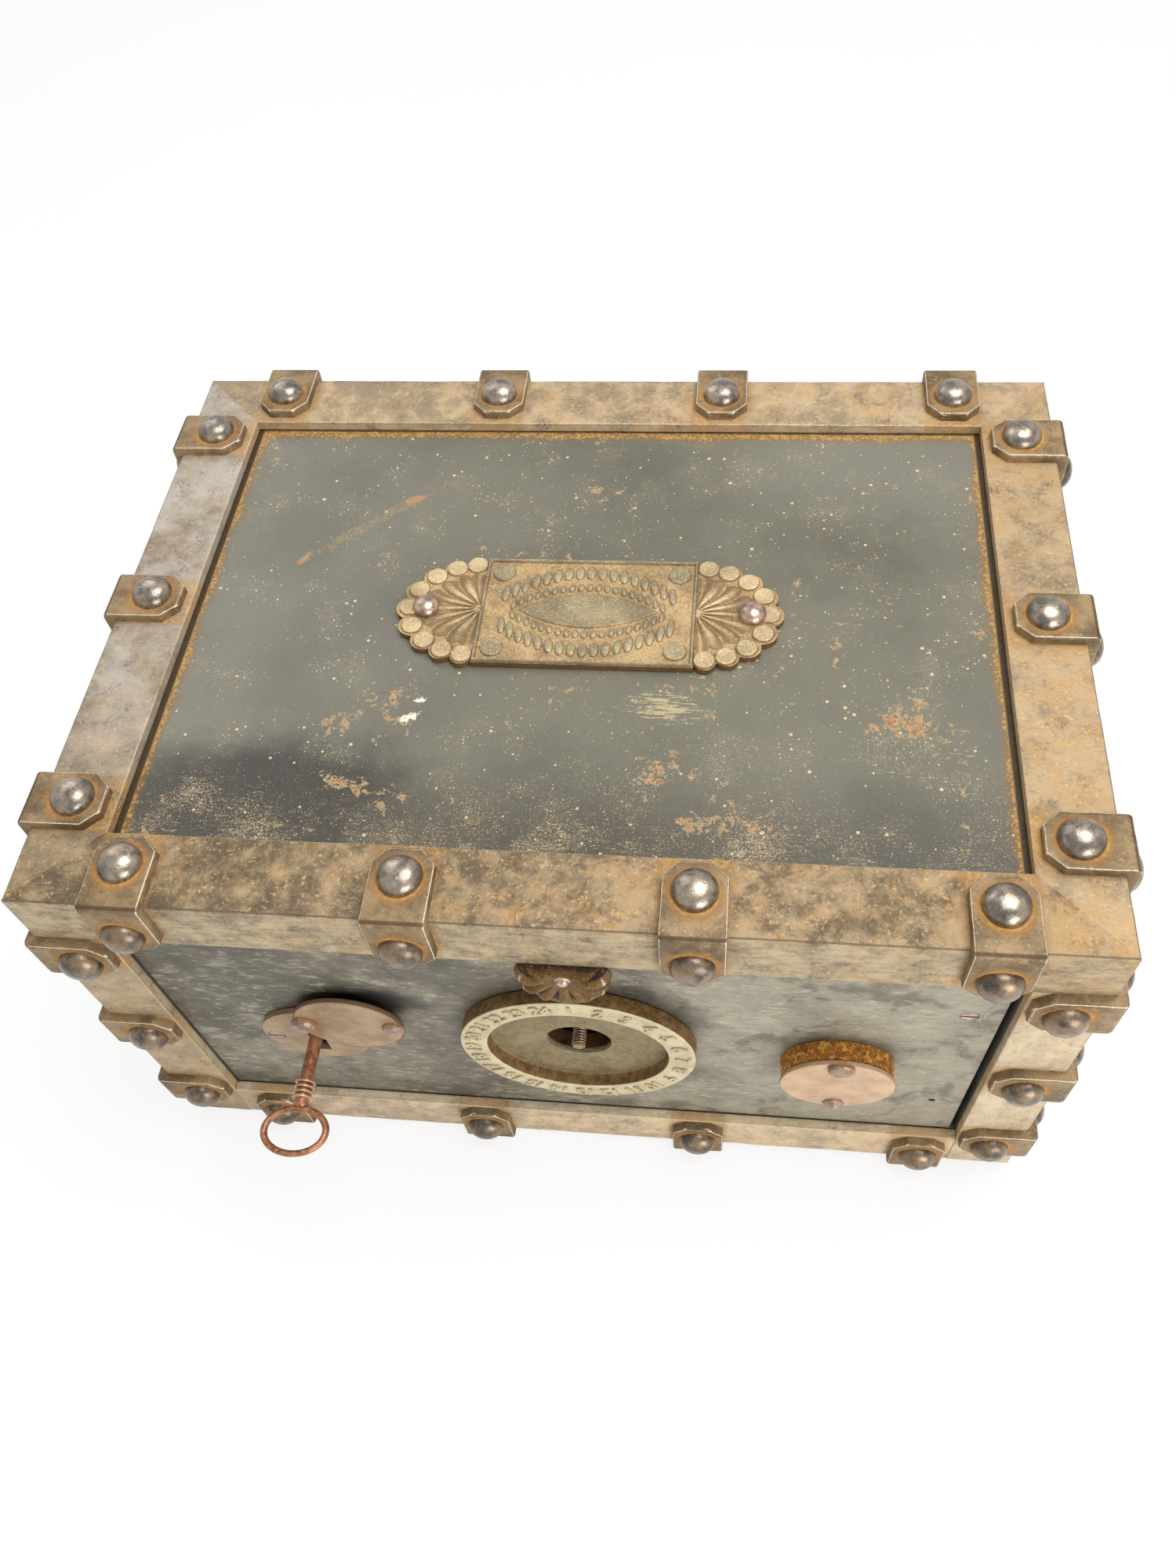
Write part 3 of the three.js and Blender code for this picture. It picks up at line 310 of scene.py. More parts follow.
def angle_iron(length, legs, mitre, places, **_):
    """An L-shaped outline carried along the iron. Mitred ends lean so that each line of the outline
    starts and stops where the 45 degree cut meets it. The faces are slightly uneven."""
    face, side = legs
    corners = [(0, 0), (face, 0), (face, -IRON), (IRON, -IRON), (IRON, -side), (0, -side)]
    ring, near = outline(corners, [1.0, 0.7, 0.5, 1.5, 0.5, 0.7], [13, 3, 8, 8, 3, 13])
    steps = max(int(length / 2.4), 2)
    part = np.linspace(0, 1, steps + 1)[:, None]
    lean = (ring[:, 0] + 0.02) if mitre else np.zeros(len(ring))
    reach = lean + part * (length - 2 * lean)
    points = np.stack([reach, np.broadcast_to(ring[:, 0], reach.shape),
                       np.broadcast_to(ring[:, 1], reach.shape)], -1)
    dent = uneven(points, 30, 3) * 0.16 + uneven(points, 7, 4) * 0.07
    points[..., 1] += np.where(ring[:, 0] < 1, np.minimum(dent, 0.12).clip(0), 0)
    points[..., 2] += np.where(ring[:, 1] > -1, -np.abs(dent), 0)
    off = np.abs(reach[..., None] - places).min(-1) - STRAP / 2
    bend = np.where(np.hypot(ring[:, 0], ring[:, 1]) < 1.5, near, 0)
    marks = {"rust": np.exp(-np.maximum(off, 0) / 5), "edge": near, "bend": bend,
             "side": np.clip(-ring[:, 1] - 0.3, 0, 1)}
    return points, {mark: np.broadcast_to(numbers, reach.shape) for mark, numbers in marks.items()}


def iron_finish(name, along, golden, grey, patchy, pale, seed):
    """Rolled iron gone brown. The faces are olive brown with a pale grain, dark pores and patches of
    golden rust; towards the right they grow paler and more golden, which is painted light. The flanges
    are greyer and streaked along their length, and a painted grey reflection takes the gold off the irons
    of the box's left side. pale lifts an iron's whole tone as painted light. Rust gathers round the
    straps, the bend is dark and the other edges are bright."""
    f = Finish(name, Specular_IOR_Level=0.35)
    spot = f.place(shift=(seed * 37 % 311, seed * 53 % 307, seed * 29))
    cloud = f.grain(42, 4, 0.6, spot)
    blotch = f.grain(11, 5, 0.65, spot, 0.6)
    fine = f.grain(1.5, 4, 0.72, spot)
    speck = f.grain(0.8, 2, 0.6, spot)
    streak = f.grain(1.0, 5, 0.68, f.place(tuple(3.0 + 10 * np.abs(along))), 0.6)
    grit = f.grain(3.2, 3, 0.7, spot, 0.3)
    patina = f.grain(13, 9, 0.76, spot, 0.25)
    x = f.part(f.place(), 0)
    y = f.part(f.place(), 1) - ORIGIN[1]
    # pale is painted light: it lifts the tone of the irons that face more of the lamps.
    tan = np.array([158, 134, 99]) + pale
    brown = tan - patchy * np.array([80, 69, 52])
    # The x ramps in face and gold below are painted light from the right.
    face = f.between((patina * 0.7 + cloud * 0.3 + x / 5000).over(0.41, 0.6), brown, tan)
    flange = f.between((streak * 0.4 + patina * 0.6).over(0.38, 0.6), brown + 34, tan + [22, 30, 32])
    f.base = f.mix(f.mark("side") * 0.85, face, flange)
    gold = (blotch * 0.5 + cloud * 0.3 + grit * 0.25 + x / 6000 + 0.02 * golden).over(0.53, 0.68)
    f.lay(gold * (0.15 + 0.35 * golden), 184, 138, 78)
    # Painted reflection: a grey sheen on the irons of the left side, growing towards the back.
    f.lay((cloud * 0.5 + blotch * 0.5).over(0.3, 0.6) * y.over(0, 150) * 0.8 * grey, 184, 178, 168)
    f.lay((fine * 0.65 + grit * 0.35).over(0.54, 0.64) * 0.6, 212, 186, 142)
    f.lay((fine * 0.5 + patina * 0.5).over(0.46, 0.36) * 0.6, 78, 62, 42)
    rust = (f.mark("rust") * 0.8 + blotch * 0.8 + fine * 0.5).over(1.05, 1.6)
    f.lay(rust * 0.6, 168, 124, 66)
    f.lay((f.mark("rust") * 0.7 + fine * 0.7 + blotch * 0.3).over(1.15, 1.4) * 0.55, 220, 178, 112)
    bare = (f.mark("edge") + fine * 0.8 + blotch * 0.4).over(1.25, 1.6)
    f.lay(bare * 0.6, 214, 198, 166)
    f.lay(f.mark("bend").over(0.35, 0.9) * 0.75, 74, 58, 42)
    f.lay(speck.over(0.64, 0.72) * 0.35, 72, 56, 38)
    rough = 0.36 + patina * 0.3 + rust * 0.2
    height = fine * 0.6 + patina * 1.6 + speck * 0.25 + rust * 0.5 + streak * f.mark("side") * 0.4
    return f.finish(rough, height, 0.4, 0.3 - rust * 0.25)


for number, iron in enumerate(irons):
    points, marks = angle_iron(**iron)
    piece = skin("angle_" + iron["node"], in_frame(points, iron["setting"]), wrap=True, ends=True, **marks)
    # For each iron: golden rust, painted grey reflection, patchiness, and pale, a painted lift of its tone
    # for light, largest on the bottom irons.
    golden, grey, patchy, pale = {
        "top_iron_front": (1.0, 0, 0.88, 10), "top_iron_right": (0.8, 0, 0.5, 22),
        "top_iron_back": (1.0, 0, 0.55, 32), "top_iron_left": (0.5, 1, 0.55, 12),
        "corner_post_front_left": (0.2, 0, 0.4, 32),
        "bottom_iron_front": (0.3, 0, 0.6, 60)}.get(iron["node"], (0.3, 0, 0.5, 38))
    seed = 1 if iron["mitre"] else number + 2
    metal = iron_finish("iron " + iron["node"], iron["setting"][1][0], golden, grey, patchy, pale, seed)
    fit(piece, "box", metal, iron["node"])


# Straps. Short lengths of forged bar bent over the outer edge of each iron, their ends trimmed at
# the corners. Each is held by domed rivets.

LEG = 29.0
TRIM = 6.4
RIVET_IN = 16.0
HEAD, SIDE_HEAD = (8.9, 6.8), (8.7, 6.6)


def strap(place, thick):
    """A bar's cross-section carried round the iron's edge. At each height n above the iron the path is
    straight down the face, round a bend of radius r(n), and straight down the side. The half width is
    full along the middle and narrows in the last 6.4 mm of each end, and the top edges are rounded.
    Returns the points, which of them are rubbed pale, which lie part way round the bend, and each
    one's place across the bar and its distance from the nearer end. The pale band just past that part
    of the bend is a painted highlight, and the dark that strap_finish lays on that part is painted shade."""
    face, side = thick
    lengthwise = np.concatenate([[0, 0.02], np.linspace(0.05, 0.95, 17), np.linspace(1, 2, 9),
                                 2 + np.linspace(0.05, 0.95, 17), [2.98, 3]])
    up = np.array([0, 0.45, 0.86, 0.96, 1] + [1] * 13 + [1, 0.96, 0.86, 0.45, 0])
    in_from_edge = np.array([0, 0.0, 0.0, 0.35, 1.0])
    flat = np.linspace(1, -1, 15)[1:-1]
    t, n = np.meshgrid(lengthwise, up, indexing="ij")
    run = np.clip(np.minimum(t, 3 - t), 0, 1) * LEG
    half = STRAP / 2 - TRIM * np.clip(1 - run / TRIM, 0, 1)
    s = np.concatenate([half[:, :5] - in_from_edge, (half[:, :1] - 1.0) * flat,
                        -(half[:, :5] - in_from_edge)[:, ::-1]], 1)
    tip = np.clip(1 - run / 0.9, 0, 1)
    n = n * (1 - 0.12 * tip)
    bend = 0.6 + 2.2 * n
    arc = np.clip(t - 1, 0, 1) * np.pi / 2
    on_face, on_side = np.clip(t, 0, 1), np.clip(t - 2, 0, 1)
    turn_v, turn_w = bend - n * side, n * face - bend
    v = np.where(t < 1, LEG + (turn_v - LEG) * on_face,
                 np.where(t < 2, turn_v - bend * np.sin(arc), -n * side))
    w = np.where(t < 1, n * face,
                 np.where(t < 2, turn_w + bend * np.cos(arc), turn_w + (-LEG - turn_w) * on_side))
    points = np.stack([place + s, v, w], -1)
    lump = uneven(points, 9, 11) * 0.22 + uneven(points, 3.5, 12) * 0.08
    points[..., 2] += np.where((t < 1.5) & (n > 0.5), -np.abs(lump), 0)
    points[..., 1] += np.where((t > 1.5) & (n > 0.5), np.abs(lump), 0)
    rim = np.zeros(s.shape)
    rim[:, [3, -4]] = 1
    # Painted highlight: a pale band on the bar's face just past the middle of the bend.
    rim = np.maximum(rim, ((t > 1.55) & (t < 1.9) & (n > 0.95)) * 0.5)
    rim = np.maximum(rim, ((run > 0) & (run < 1.2) & (n > 0.8)) * 0.8)
    return points, rim, ((t > 1.2) & (t < 1.55) & (n > 0.95)) * 1.0, s, run


def turned(profile, centre, axis, side_on, facets=48, wobble=0.0):
    """A profile of distances out from an axis and along it, carried round the axis. wobble makes it
    slightly three-cornered."""
    profile = np.asarray(profile, float)
    around = np.linspace(0, 2 * np.pi, facets, endpoint=False)
    out = profile[:, :1] * (1 + wobble * np.sin(3 * around))
    return (np.asarray(centre, float) + profile[:, 1:, None] * axis
            + (out * np.cos(around))[..., None] * side_on
            + (out * np.sin(around))[..., None] * np.cross(axis, side_on))


def dome(radius, rise, foot=0.4, rings=12):
    """The profile of a rivet head: a slightly flattened quarter circle over a short straight foot."""
    slope = np.linspace(0, np.pi / 2, rings)
    out, along = radius * np.sin(slope) ** 0.94, rise * np.cos(slope) ** 0.92
    return np.stack([np.append(out, radius), np.append(along, -foot)], 1)


def strap_finish():
    """Forged bar: browner and smoother than the irons, golden rust packed round the rivet head and
    bright rubbed edges. Across the bend it is painted dark then pale, as shade and highlight."""
    f = Finish("strap iron", Specular_IOR_Level=0.35)
    cloud, blotch, fine = f.grain(16, 4, 0.6), f.grain(5, 4, 0.65, warp=0.5), f.grain(1.3, 4, 0.7)
    f.start(cloud.over(0.35, 0.65), (106, 87, 62), (150, 126, 92))
    f.lay((blotch * 0.4 + fine * 0.6).over(0.52, 0.68) * 0.6, 192, 170, 130)
    f.lay((blotch * 0.5 + fine * 0.5).over(0.47, 0.36) * 0.6, 84, 66, 46)
    ring = f.mark("ring")
    rust = (ring + fine * 0.6 + blotch * 0.6).over(0.85, 1.4)
    f.lay(rust * 0.7, 166, 118, 60)
    f.lay((ring + fine * 0.7).over(1.1, 1.5) * 0.6, 214, 168, 104)
    bare = (f.mark("edge") + fine * 0.6).over(0.85, 1.2)
    f.lay(bare * 0.85, 226, 212, 186)
    # Painted shade on the part of the bend before the pale band.
    f.lay(f.mark("bend") * 0.75, 74, 55, 36)
    height = fine * 0.5 + blotch * 0.8 + rust * 0.4
    return f.finish(0.4 + blotch * 0.25 + rust * 0.25, height, 0.3, 0.35 - rust * 0.3)


def rivet_finish(name, light=0, pink=0, dull=0.0):
    """A hammered head rubbed smooth and dark, with rust left where it meets the strap. light makes
    it paler, pink more like copper, and dull leaves it rough and brown."""
    f = Finish(name, Specular_IOR_Level=0.5, Coat_Weight=0.4, Coat_Roughness=0.2)
    cloud, blotch, fine = f.grain(6, 4, 0.6), f.grain(2.6, 4, 0.65, warp=0.6), f.grain(0.9, 3, 0.7)
    dark = np.array([88, 82, 76]) + light + pink * np.array([30, 10, 6])
    pale = np.array([148, 134, 114]) + light + pink * np.array([44, 20, 16])
    f.start(cloud.over(0.35, 0.65), dark, pale)
    f.lay(blotch.over(0.56, 0.7) * 0.5, 176, 124, 78)
    f.lay(blotch.over(0.46, 0.34) * 0.5, 66, 56, 48)
    if dull:
        f.lay((cloud * 0.5 + fine * 0.5).over(0.42, 0.6) * dull, 140, 110, 74)
    foot = (f.mark("foot") + blotch * 0.8).over(1.0, 1.4)
    f.lay(foot * 0.8, 160, 108, 54)
    return f.finish(0.16 + 0.2 * dull + blotch * 0.2 + foot * 0.3, blotch * 0.7 + fine * 0.3, 0.2,
                    0.85 - 0.4 * dull - foot * 0.4)


strap_iron = strap_finish()
bright_rivet, dull_rivet = rivet_finish("bright rivet", 22), rivet_finish("dull rivet", -20, 0, 0.45)
RUSTY_FOOT = np.linspace(0, 1, 13)[:, None] ** 4
for iron in irons:
    axes = iron["setting"][1]
    face, side = iron["thick"]
    grids, edges, bends, rings, heads, side_heads = [], [], [], [], [], []
    for place in iron["places"]:
        points, edge, bend, s, run = strap(place, iron["thick"])
        off = np.hypot(s, LEG - RIVET_IN - np.minimum(run, LEG))
        grids.append(in_frame(points, iron["setting"]))
        edges.append(edge)
        bends.append(bend)
        rings.append(np.exp(-np.maximum(off - HEAD[0], 0) / 2.4))
        seats = np.array([(place, RIVET_IN, face), (place, -side, -RIVET_IN)])
        on_face, on_side = in_frame(seats, iron["setting"])
        heads.append(turned(dome(*HEAD), on_face, axes[2], axes[0], 36, 0.012))
        if side == face:
            side_heads.append(turned(dome(*SIDE_HEAD), on_side, -axes[1], axes[0], 36, 0.012))
    name = iron["node"]
    straps = skin("straps_" + name, grids, wrap=True, ends=True, edge=np.array(edges), bend=np.array(bends),
                  ring=np.array(rings))
    fit(straps, "box", strap_iron, name)
    on_top = bright_rivet if iron["mitre"] else dull_rivet
    fit(skin("rivets_" + name, heads, wrap=True, foot=RUSTY_FOOT), "box", on_top, name)
    if side_heads:
        fit(skin("side_rivets_" + name, side_heads, wrap=True, foot=RUSTY_FOOT), "box",
            dull_rivet, name)


# Shell. Rolled plates stand under the irons and make the box's outside. They are painted black, and
# the paint on the top has gone grey, chipped and scratched.

PANEL = (177.6, 121.6)
PANEL_MIDDLE = (0.0, 154.0)
TOP = 223.7


def paint_finish(name, chipped):
    """Old black paint gone grey, with pale specks and rust coming through. The top has chips with light
    rims, worn streaks towards the front, one long scratch, a scuff, and golden rust along its edges. On
    the top a painted reflection makes it lighter at the back and darker towards the front, and a painted
    shadow of the irons darkens it along its sides and back. chipped is 1 on the top and 0 on the other
    plates, which nothing has stood on."""
    f = Finish(name, Coat_Weight=0.14, Coat_Roughness=0.15, Specular_IOR_Level=0.35)
    cloud, haze = f.grain(95, 3, 0.5), f.grain(26, 5, 0.6)
    fine, grit = f.grain(1.3, 4, 0.7), f.grain(0.7, 2, 0.6)
    f.start(cloud.over(0.32, 0.68), (97, 94, 81), (112, 108, 93))
    f.lay(haze.over(0.52, 0.72) * 0.16, 132, 126, 106)
    cell = f.part(f.cells(3.6, output="Color"), 0)
    dots = ((cell ** 4) * 0.24 + (haze - 0.5) * 0.4 - f.cells(3.6)).over(0.0, 0.04)
    dust_cell = f.part(f.cells(1.7, output="Color"), 1)
    dust = ((dust_cell ** 3) * 0.26 + (haze - 0.5) * 0.7 - f.cells(1.7)).over(0.0, 0.05)
    if not chipped:
        rub = f.grain(1.0, 5, 0.7, f.place((5, 5, 16)), 0.4)
        chip = (f.grain(5, 5, 0.75, warp=0.4) * 0.75 + f.grain(52, 3, 0.5) * 0.55).over(0.77, 0.79)
        f.lay((rub * 0.6 + cloud * 0.4).over(0.54, 0.68) * 0.4, 142, 132, 106)
        f.lay((haze * 0.7 + fine * 0.3).over(0.57, 0.7) * 0.6, 146, 112, 70)
        f.lay(dots * 0.8 | dust * 0.6, 196, 176, 140)
        f.lay(chip * 0.8, f.between(fine.over(0.42, 0.58), (104, 76, 48), (176, 140, 100)))
        return f.finish(0.32 + haze * 0.25 + chip * 0.3, fine * 0.3 + haze - chip, 0.2)
    spot = f.place()
    x = f.part(spot, 0)
    y = f.part(spot, 1) - ORIGIN[1]
    front = y.over(110, 36)
    streak = f.grain(1.0, 5, 0.7, f.place((7, 0.8, 7)), 0.3)
    corner = (f.blob((-128, 56, TOP), (84, 38), 0.1) + (haze - 0.5) * 0.8).over(1.05, 0.35)
    f.lay(corner * 0.9, 36, 32, 26)
    f.lay((haze * 0.6 + cloud * 0.4).over(0.48, 0.38) * 0.16, 74, 71, 60)
    # Painted reflection: darker towards the front here, and lighter at the back (far) below.
    f.lay(y.over(84, 34) * 0.65, 58, 52, 42)
    far = f.blob((150, 272, TOP), (120, 70), -0.1).over(1.2, 0.3)
    f.lay(far * 0.5, 134, 130, 116)
    worn = (streak * 0.6 + haze * 0.3 + fine * 0.35 + front * 0.12).over(0.76, 0.86)
    f.lay(worn * (0.1 + front * 0.4), 148, 128, 92)
    f.lay(dots * 0.85, 212, 190, 150)
    f.lay(dust * 0.7, 196, 178, 146)
    dust = (grit * 0.7 + haze * 0.35 + fine * 0.15 + front * 0.05).over(0.715, 0.78)
    f.lay(dust * 0.75, 186, 166, 130)
    chip = f.grain(4.4, 5, 0.75, warp=0.4) * 0.75 + f.grain(42, 3, 0.5) * 0.55
    for centre, half, turn in (
            ((-88, 63), (26, 7), -0.18), ((-67, 98), (5, 3), 0.5), ((-51, 81), (5, 4), 0),
            ((90, 198), (9, 3), -0.2), ((166, 186), (9, 4), 0), ((4, 41), (9, 6), 0.3),
            ((137, 108), (24, 18), 0.4), ((-75, 252), (12, 3.5), 0), ((-100, 92), (13, 9), 0.2),
            ((139, 235), (22, 9), -0.3), ((60, 50), (44, 8), 0.0), ((0, 232), (34, 18), 0.2)):
        chip = chip + f.blob((*centre, TOP), half, turn).over(1.0, 0.2) * 0.1
    rim, heart = chip.over(0.785, 0.8), chip.over(0.81, 0.84)
    f.lay(rim * 0.8, 186, 162, 122)
    f.lay(heart * 0.85, f.between(fine.over(0.42, 0.58), (108, 78, 50), (176, 132, 92)))
    white = f.blob((-68, 97.5, TOP), (4.2, 2.0), 0.6)
    white = white.maths("MINIMUM", white, f.blob((-65, 106.5, TOP), (2.2, 1.6), 0.6))
    white = (white + (f.grain(1.8, 3, 0.7) - 0.5) * 5).over(0.9, 0.6)
    f.lay(white * 0.95, 236, 230, 208)
    rag = (f.grain(4.5, 4, 0.75, warp=0.4) - 0.5) * 5
    scratch = (f.blob((-109, 208, TOP), (40, 4.0), 0.69) + rag).over(0.9, 0.5)
    scratch = scratch * (fine * 0.6 + grit * 0.4).over(0.4, 0.56)
    f.lay(scratch * 0.8, 146, 128, 98)
    tip = (f.blob((-88, 227, TOP), (9, 2.6), 0.45) + rag * 0.5).over(0.9, 0.5)
    tip = (tip | (f.blob((-134, 187, TOP), (5, 2.2), 0.9) + rag * 0.5).over(0.95, 0.5)) * (0.3 + fine)
    f.lay(tip, 168, 128, 88)
    scuff = (f.blob((39, 107, TOP), (17, 8), -0.1) + (streak - 0.5) * 5 + (fine - 0.5) * 2).over(0.6, 0.2)
    f.lay(scuff * 0.6, 204, 186, 138)
    side = (x.maths("ABSOLUTE", x) - (PANEL[0] - 7)) / 7
    back = (y - PANEL_MIDDLE[1] - (PANEL[1] - 7)) / 7
    near = (PANEL_MIDDLE[1] - y - (PANEL[1] - 2)) / 3
    edge = (((side | back) + 0.35 | near) + (fine - 0.5) * 1.3 + (haze - 0.5) * 1.2).over(0.3, 0.9)
    f.lay(edge * 0.8, 134, 98, 50)
    f.lay((edge * fine).over(0.44, 0.58) * 0.7, 196, 156, 88)
    # Painted shadow of the irons: a dark line along the top's sides and back.
    f.lay((side + (fine - 0.5) * 0.3).over(0.58, 0.7) * 0.9, 34, 26, 16)
    f.lay(back.over(0.8, 0.95) * 0.7, 44, 34, 22)
    bare = rim | scratch | scuff | edge
    return f.finish(0.24 + haze * 0.22 + bare * 0.35, fine * 0.12 - rim * 0.6 - scratch * 0.4, 0.14)


def dress(finish, *names):
    """Puts a finish on pieces whose CAD shape is right."""
    for name in names:
        nodes[name].data.materials.clear()
        nodes[name].data.materials.append(finish)


dress(paint_finish("top paint", 1), "top_plate")
dress(paint_finish("shell paint", 0), "bottom_plate", "left_plate", "right_plate", "back_plate")


# Liner and filling. A tub of thin sheet iron stands inside the shell, packed round with fireproof
# cement, and two brass bushes let into it carry the door's pegs.


def sheet_finish(name, first, second, rusted):
    """Rolled sheet iron with a thin cloudy bloom of rust."""
    f = Finish(name)
    cloud, blotch, fine = f.grain(45, 4, 0.6), f.grain(11, 5, 0.65, warp=0.5), f.grain(1.2, 4, 0.7)
    f.start(cloud.over(0.35, 0.65), first, second)
    f.lay((blotch * 0.7 + fine * 0.3).over(0.6 - 0.1 * rusted, 0.75 - 0.1 * rusted) * 0.8, 150, 98, 54)
    f.lay(fine.over(0.58, 0.7) * 0.4, 170, 164, 148)
    return f.finish(0.45 + blotch * 0.3, fine * 0.5 + blotch * 0.5, 0.2, 0.35)


def plain_finish(name, first, second, rough, metal, size=8.0):
    """A plain surface with a soft change of tone and a fine tooth."""
    f = Finish(name)
    cloud, fine = f.grain(size, 5, 0.65), f.grain(size / 10, 3, 0.7)
    f.start((cloud * 0.7 + fine * 0.3).over(0.38, 0.62), first, second)
    return f.finish(rough + cloud * 0.2, fine, 0.12, metal)


dress(sheet_finish("liner sheet", (84, 86, 84), (114, 112, 104), 0.3), "inner_liner", "door_case",
      "door_partition", "door_back_plate")
dress(plain_finish("fireproof filling", (188, 180, 160), (214, 206, 188), 0.75, 0.0, 20.0),
      "body_packing", "door_packing")
dress(plain_finish("bush brass", (150, 122, 66), (182, 150, 86), 0.3, 0.9), "pivot_bush_upper",
      "pivot_bush_lower")


# Nameplate. A plate of cast iron with a fan at each end, riveted to the top. A raised line runs round
# the middle, with a disc in each corner, a plain lens and arched rows of gadroons and beads.

PLATE = np.array([1.5, 155.5])
SEAT, FACE = 224.0, 227.0
HALF_LONG, HALF_BROAD = 47.5, 30.0
FAN = 36.0
PLATE_RIVET_OUT = 71.5


def ridge(distance, half, shoulder=0.5):
    """1 where distance is under half, falling smoothly to 0 over the shoulder beyond it."""
    part = np.clip((distance - half) / shoulder, 0, 1)
    return 1 - part * part * (3 - 2 * part)


def arched_row(u, v, half, middle, drop, pitch, size):
    """Drops standing in a row along a parabola v = middle - drop (u / half)^2. Along the row each is
    a bump of half width size[0], across it of half length size[1], as round as an ellipsoid."""
    line = middle - drop * (u / half) ** 2
    slope = -2 * drop * u / half ** 2
    across = (v - line) / np.hypot(1, slope)
    length = u * np.hypot(1, slope * 0.6)
    along = (length / pitch - np.round(length / pitch)) * pitch
    bump = np.sqrt(np.clip(1 - (along / size[0]) ** 2 - (across / size[1]) ** 2, 0, 1))
    return bump * (np.abs(np.round(length / pitch) * pitch) < half * 0.98)


u, v = np.meshgrid(np.linspace(-HALF_LONG, HALF_LONG, 300), np.linspace(-HALF_BROAD, HALF_BROAD, 190),
                   indexing="ij")
frame_line = ridge(np.abs(np.maximum(np.abs(u) - HALF_LONG + 1.0, np.abs(v) - HALF_BROAD + 1.0)), 0.4)
discs = ridge(np.hypot(np.abs(u) - 39.3, np.abs(v) - 21.8), 4.7)
lens = ridge(np.abs(v) / 10 + (u / 31) ** 2, 0.94, 0.06)
rows = [frame_line * 1.2, discs * 0.95, lens * 0.6]
for outwards in (v, -v):
    rows += [arched_row(u, outwards, 42, 22.3, 17, 5.0, (2.2, 4.0)) * 1.15,
             arched_row(u, outwards, 38, 13.6, 14.5, 3.9, (1.6, 2.3))]
relief = np.maximum.reduce(rows)
relief = relief + uneven(np.stack([u, v, 0 * u], -1), 5, 31) * 0.06
middle = np.stack([PLATE[0] + u, PLATE[1] + v, FACE + relief], -1)
middle = np.pad(middle, ((2, 2), (2, 2), (0, 0)), mode="edge")
drop = np.pad(np.zeros(relief.shape), 2, constant_values=1)
depth = np.pad(np.pad(np.zeros(relief.shape), 1, constant_values=0.4), 1, constant_values=9)
middle[..., 2] = np.maximum(middle[..., 2] - depth, SEAT)
high = np.pad(np.clip(relief / 0.9, 0, 1), 2)


def fan(side):
    """Half of a shell. r runs from its root at the plate's middle line to its scalloped rim, whose
    radius is that of an ellipse with nine lobes, a = 36 and b = 30. The leaves are waves in the angle,
    bent into an S by adding a sine of r, and every lobe carries a flat disc."""
    lobes = 9
    r, a = np.meshgrid(np.linspace(0, 1, 84), np.linspace(-1, 1, 200), indexing="ij")
    angle = a * np.pi / 2
    ellipse = 1 / np.hypot(np.cos(angle) / (FAN - 1.8), np.sin(angle) / (HALF_BROAD - 2.4))
    rim = ellipse + 3.6 * np.abs(np.cos(angle * lobes)) ** 0.7
    u, v = r * rim * np.cos(angle), r * rim * np.sin(angle)
    bent = angle + 0.2 * np.sin(r * np.pi * 1.2) * np.sin(2 * angle)
    leaf = np.sqrt(0.5 + 0.5 * np.cos(bent * 15)) * np.clip(1.35 - r, 0, 1)
    leaf = leaf * ridge(r, 0.66, 0.06)
    at = np.round(angle * lobes / np.pi) * np.pi / lobes
    reach = 0.845 / np.hypot(np.cos(at) / (FAN + 1.4), np.sin(at) / (HALF_BROAD + 1.0))
    lobe = ridge(np.hypot(u - reach * np.cos(at), v - reach * np.sin(at)), 4.3, 0.6)
    boss = ridge(np.hypot(u - 24.0, v), 6.6, 1.2) * 0.45
    relief = np.maximum.reduce([leaf, lobe, boss, ridge(r, 0.05, 0.08) * 0.9])
    relief = relief + uneven(np.stack([u, v, 0 * u], -1), 5, 33) * 0.08
    grid = np.stack([PLATE[0] + side * (HALF_LONG - 0.2 + u), PLATE[1] + v, FACE - 0.2 + relief], -1)
    grid = np.pad(grid, ((0, 2), (1, 1), (0, 0)), mode="edge")
    grid[-2, :, 2] -= 0.4
    grid[-1, :, 2] = SEAT
    grid[:, [0, -1], 2] = SEAT
    return grid, np.pad(np.clip(relief / 1.4, 0, 1), ((0, 2), (1, 1)))


def plate_finish(name, dark, light):
    """Cast iron. Golden and orange rust lies in the field, and what stands up is rubbed to a colour
    between dark and light. A dark ring round the foot of what stands up is painted shade."""
    f = Finish(name, Specular_IOR_Level=0.35)
    cloud, blotch, fine = f.grain(18, 4, 0.6), f.grain(4, 5, 0.65, warp=0.5), f.grain(1.0, 4, 0.7)
    f.start((cloud * 0.6 + blotch * 0.4).over(0.36, 0.62), (137, 113, 77), (184, 155, 110))
    f.lay(fine.over(0.54, 0.7) * 0.6, 228, 202, 158)
    f.lay(fine.over(0.46, 0.36) * 0.6, 104, 80, 50)
    field = f.base
    f.start((cloud * 0.5 + fine * 0.5).over(0.4, 0.6), dark, light)
    f.lay(fine.over(0.56, 0.68) * 0.5, 224, 210, 176)
    raised = (f.mark("high") + (fine - 0.5) * 0.5).over(0.3, 0.75)
    f.base = f.mix(raised * 0.85, field, f.base)
    # Painted shade: a dark ring round the foot of each raised shape.
    foot = f.mark("high").over(0.04, 0.2) * f.mark("high").over(0.75, 0.4)
    f.lay(foot * 0.6, 92, 66, 36)
    f.lay((f.mark("skirt") + (fine - 0.5)).over(0.4, 0.8) * 0.8, 92, 58, 30)
    return f.finish(0.44 + blotch * 0.25 - raised * 0.08, fine * 0.6 + blotch * 0.5, 0.2,
                    0.15 + raised * 0.3)


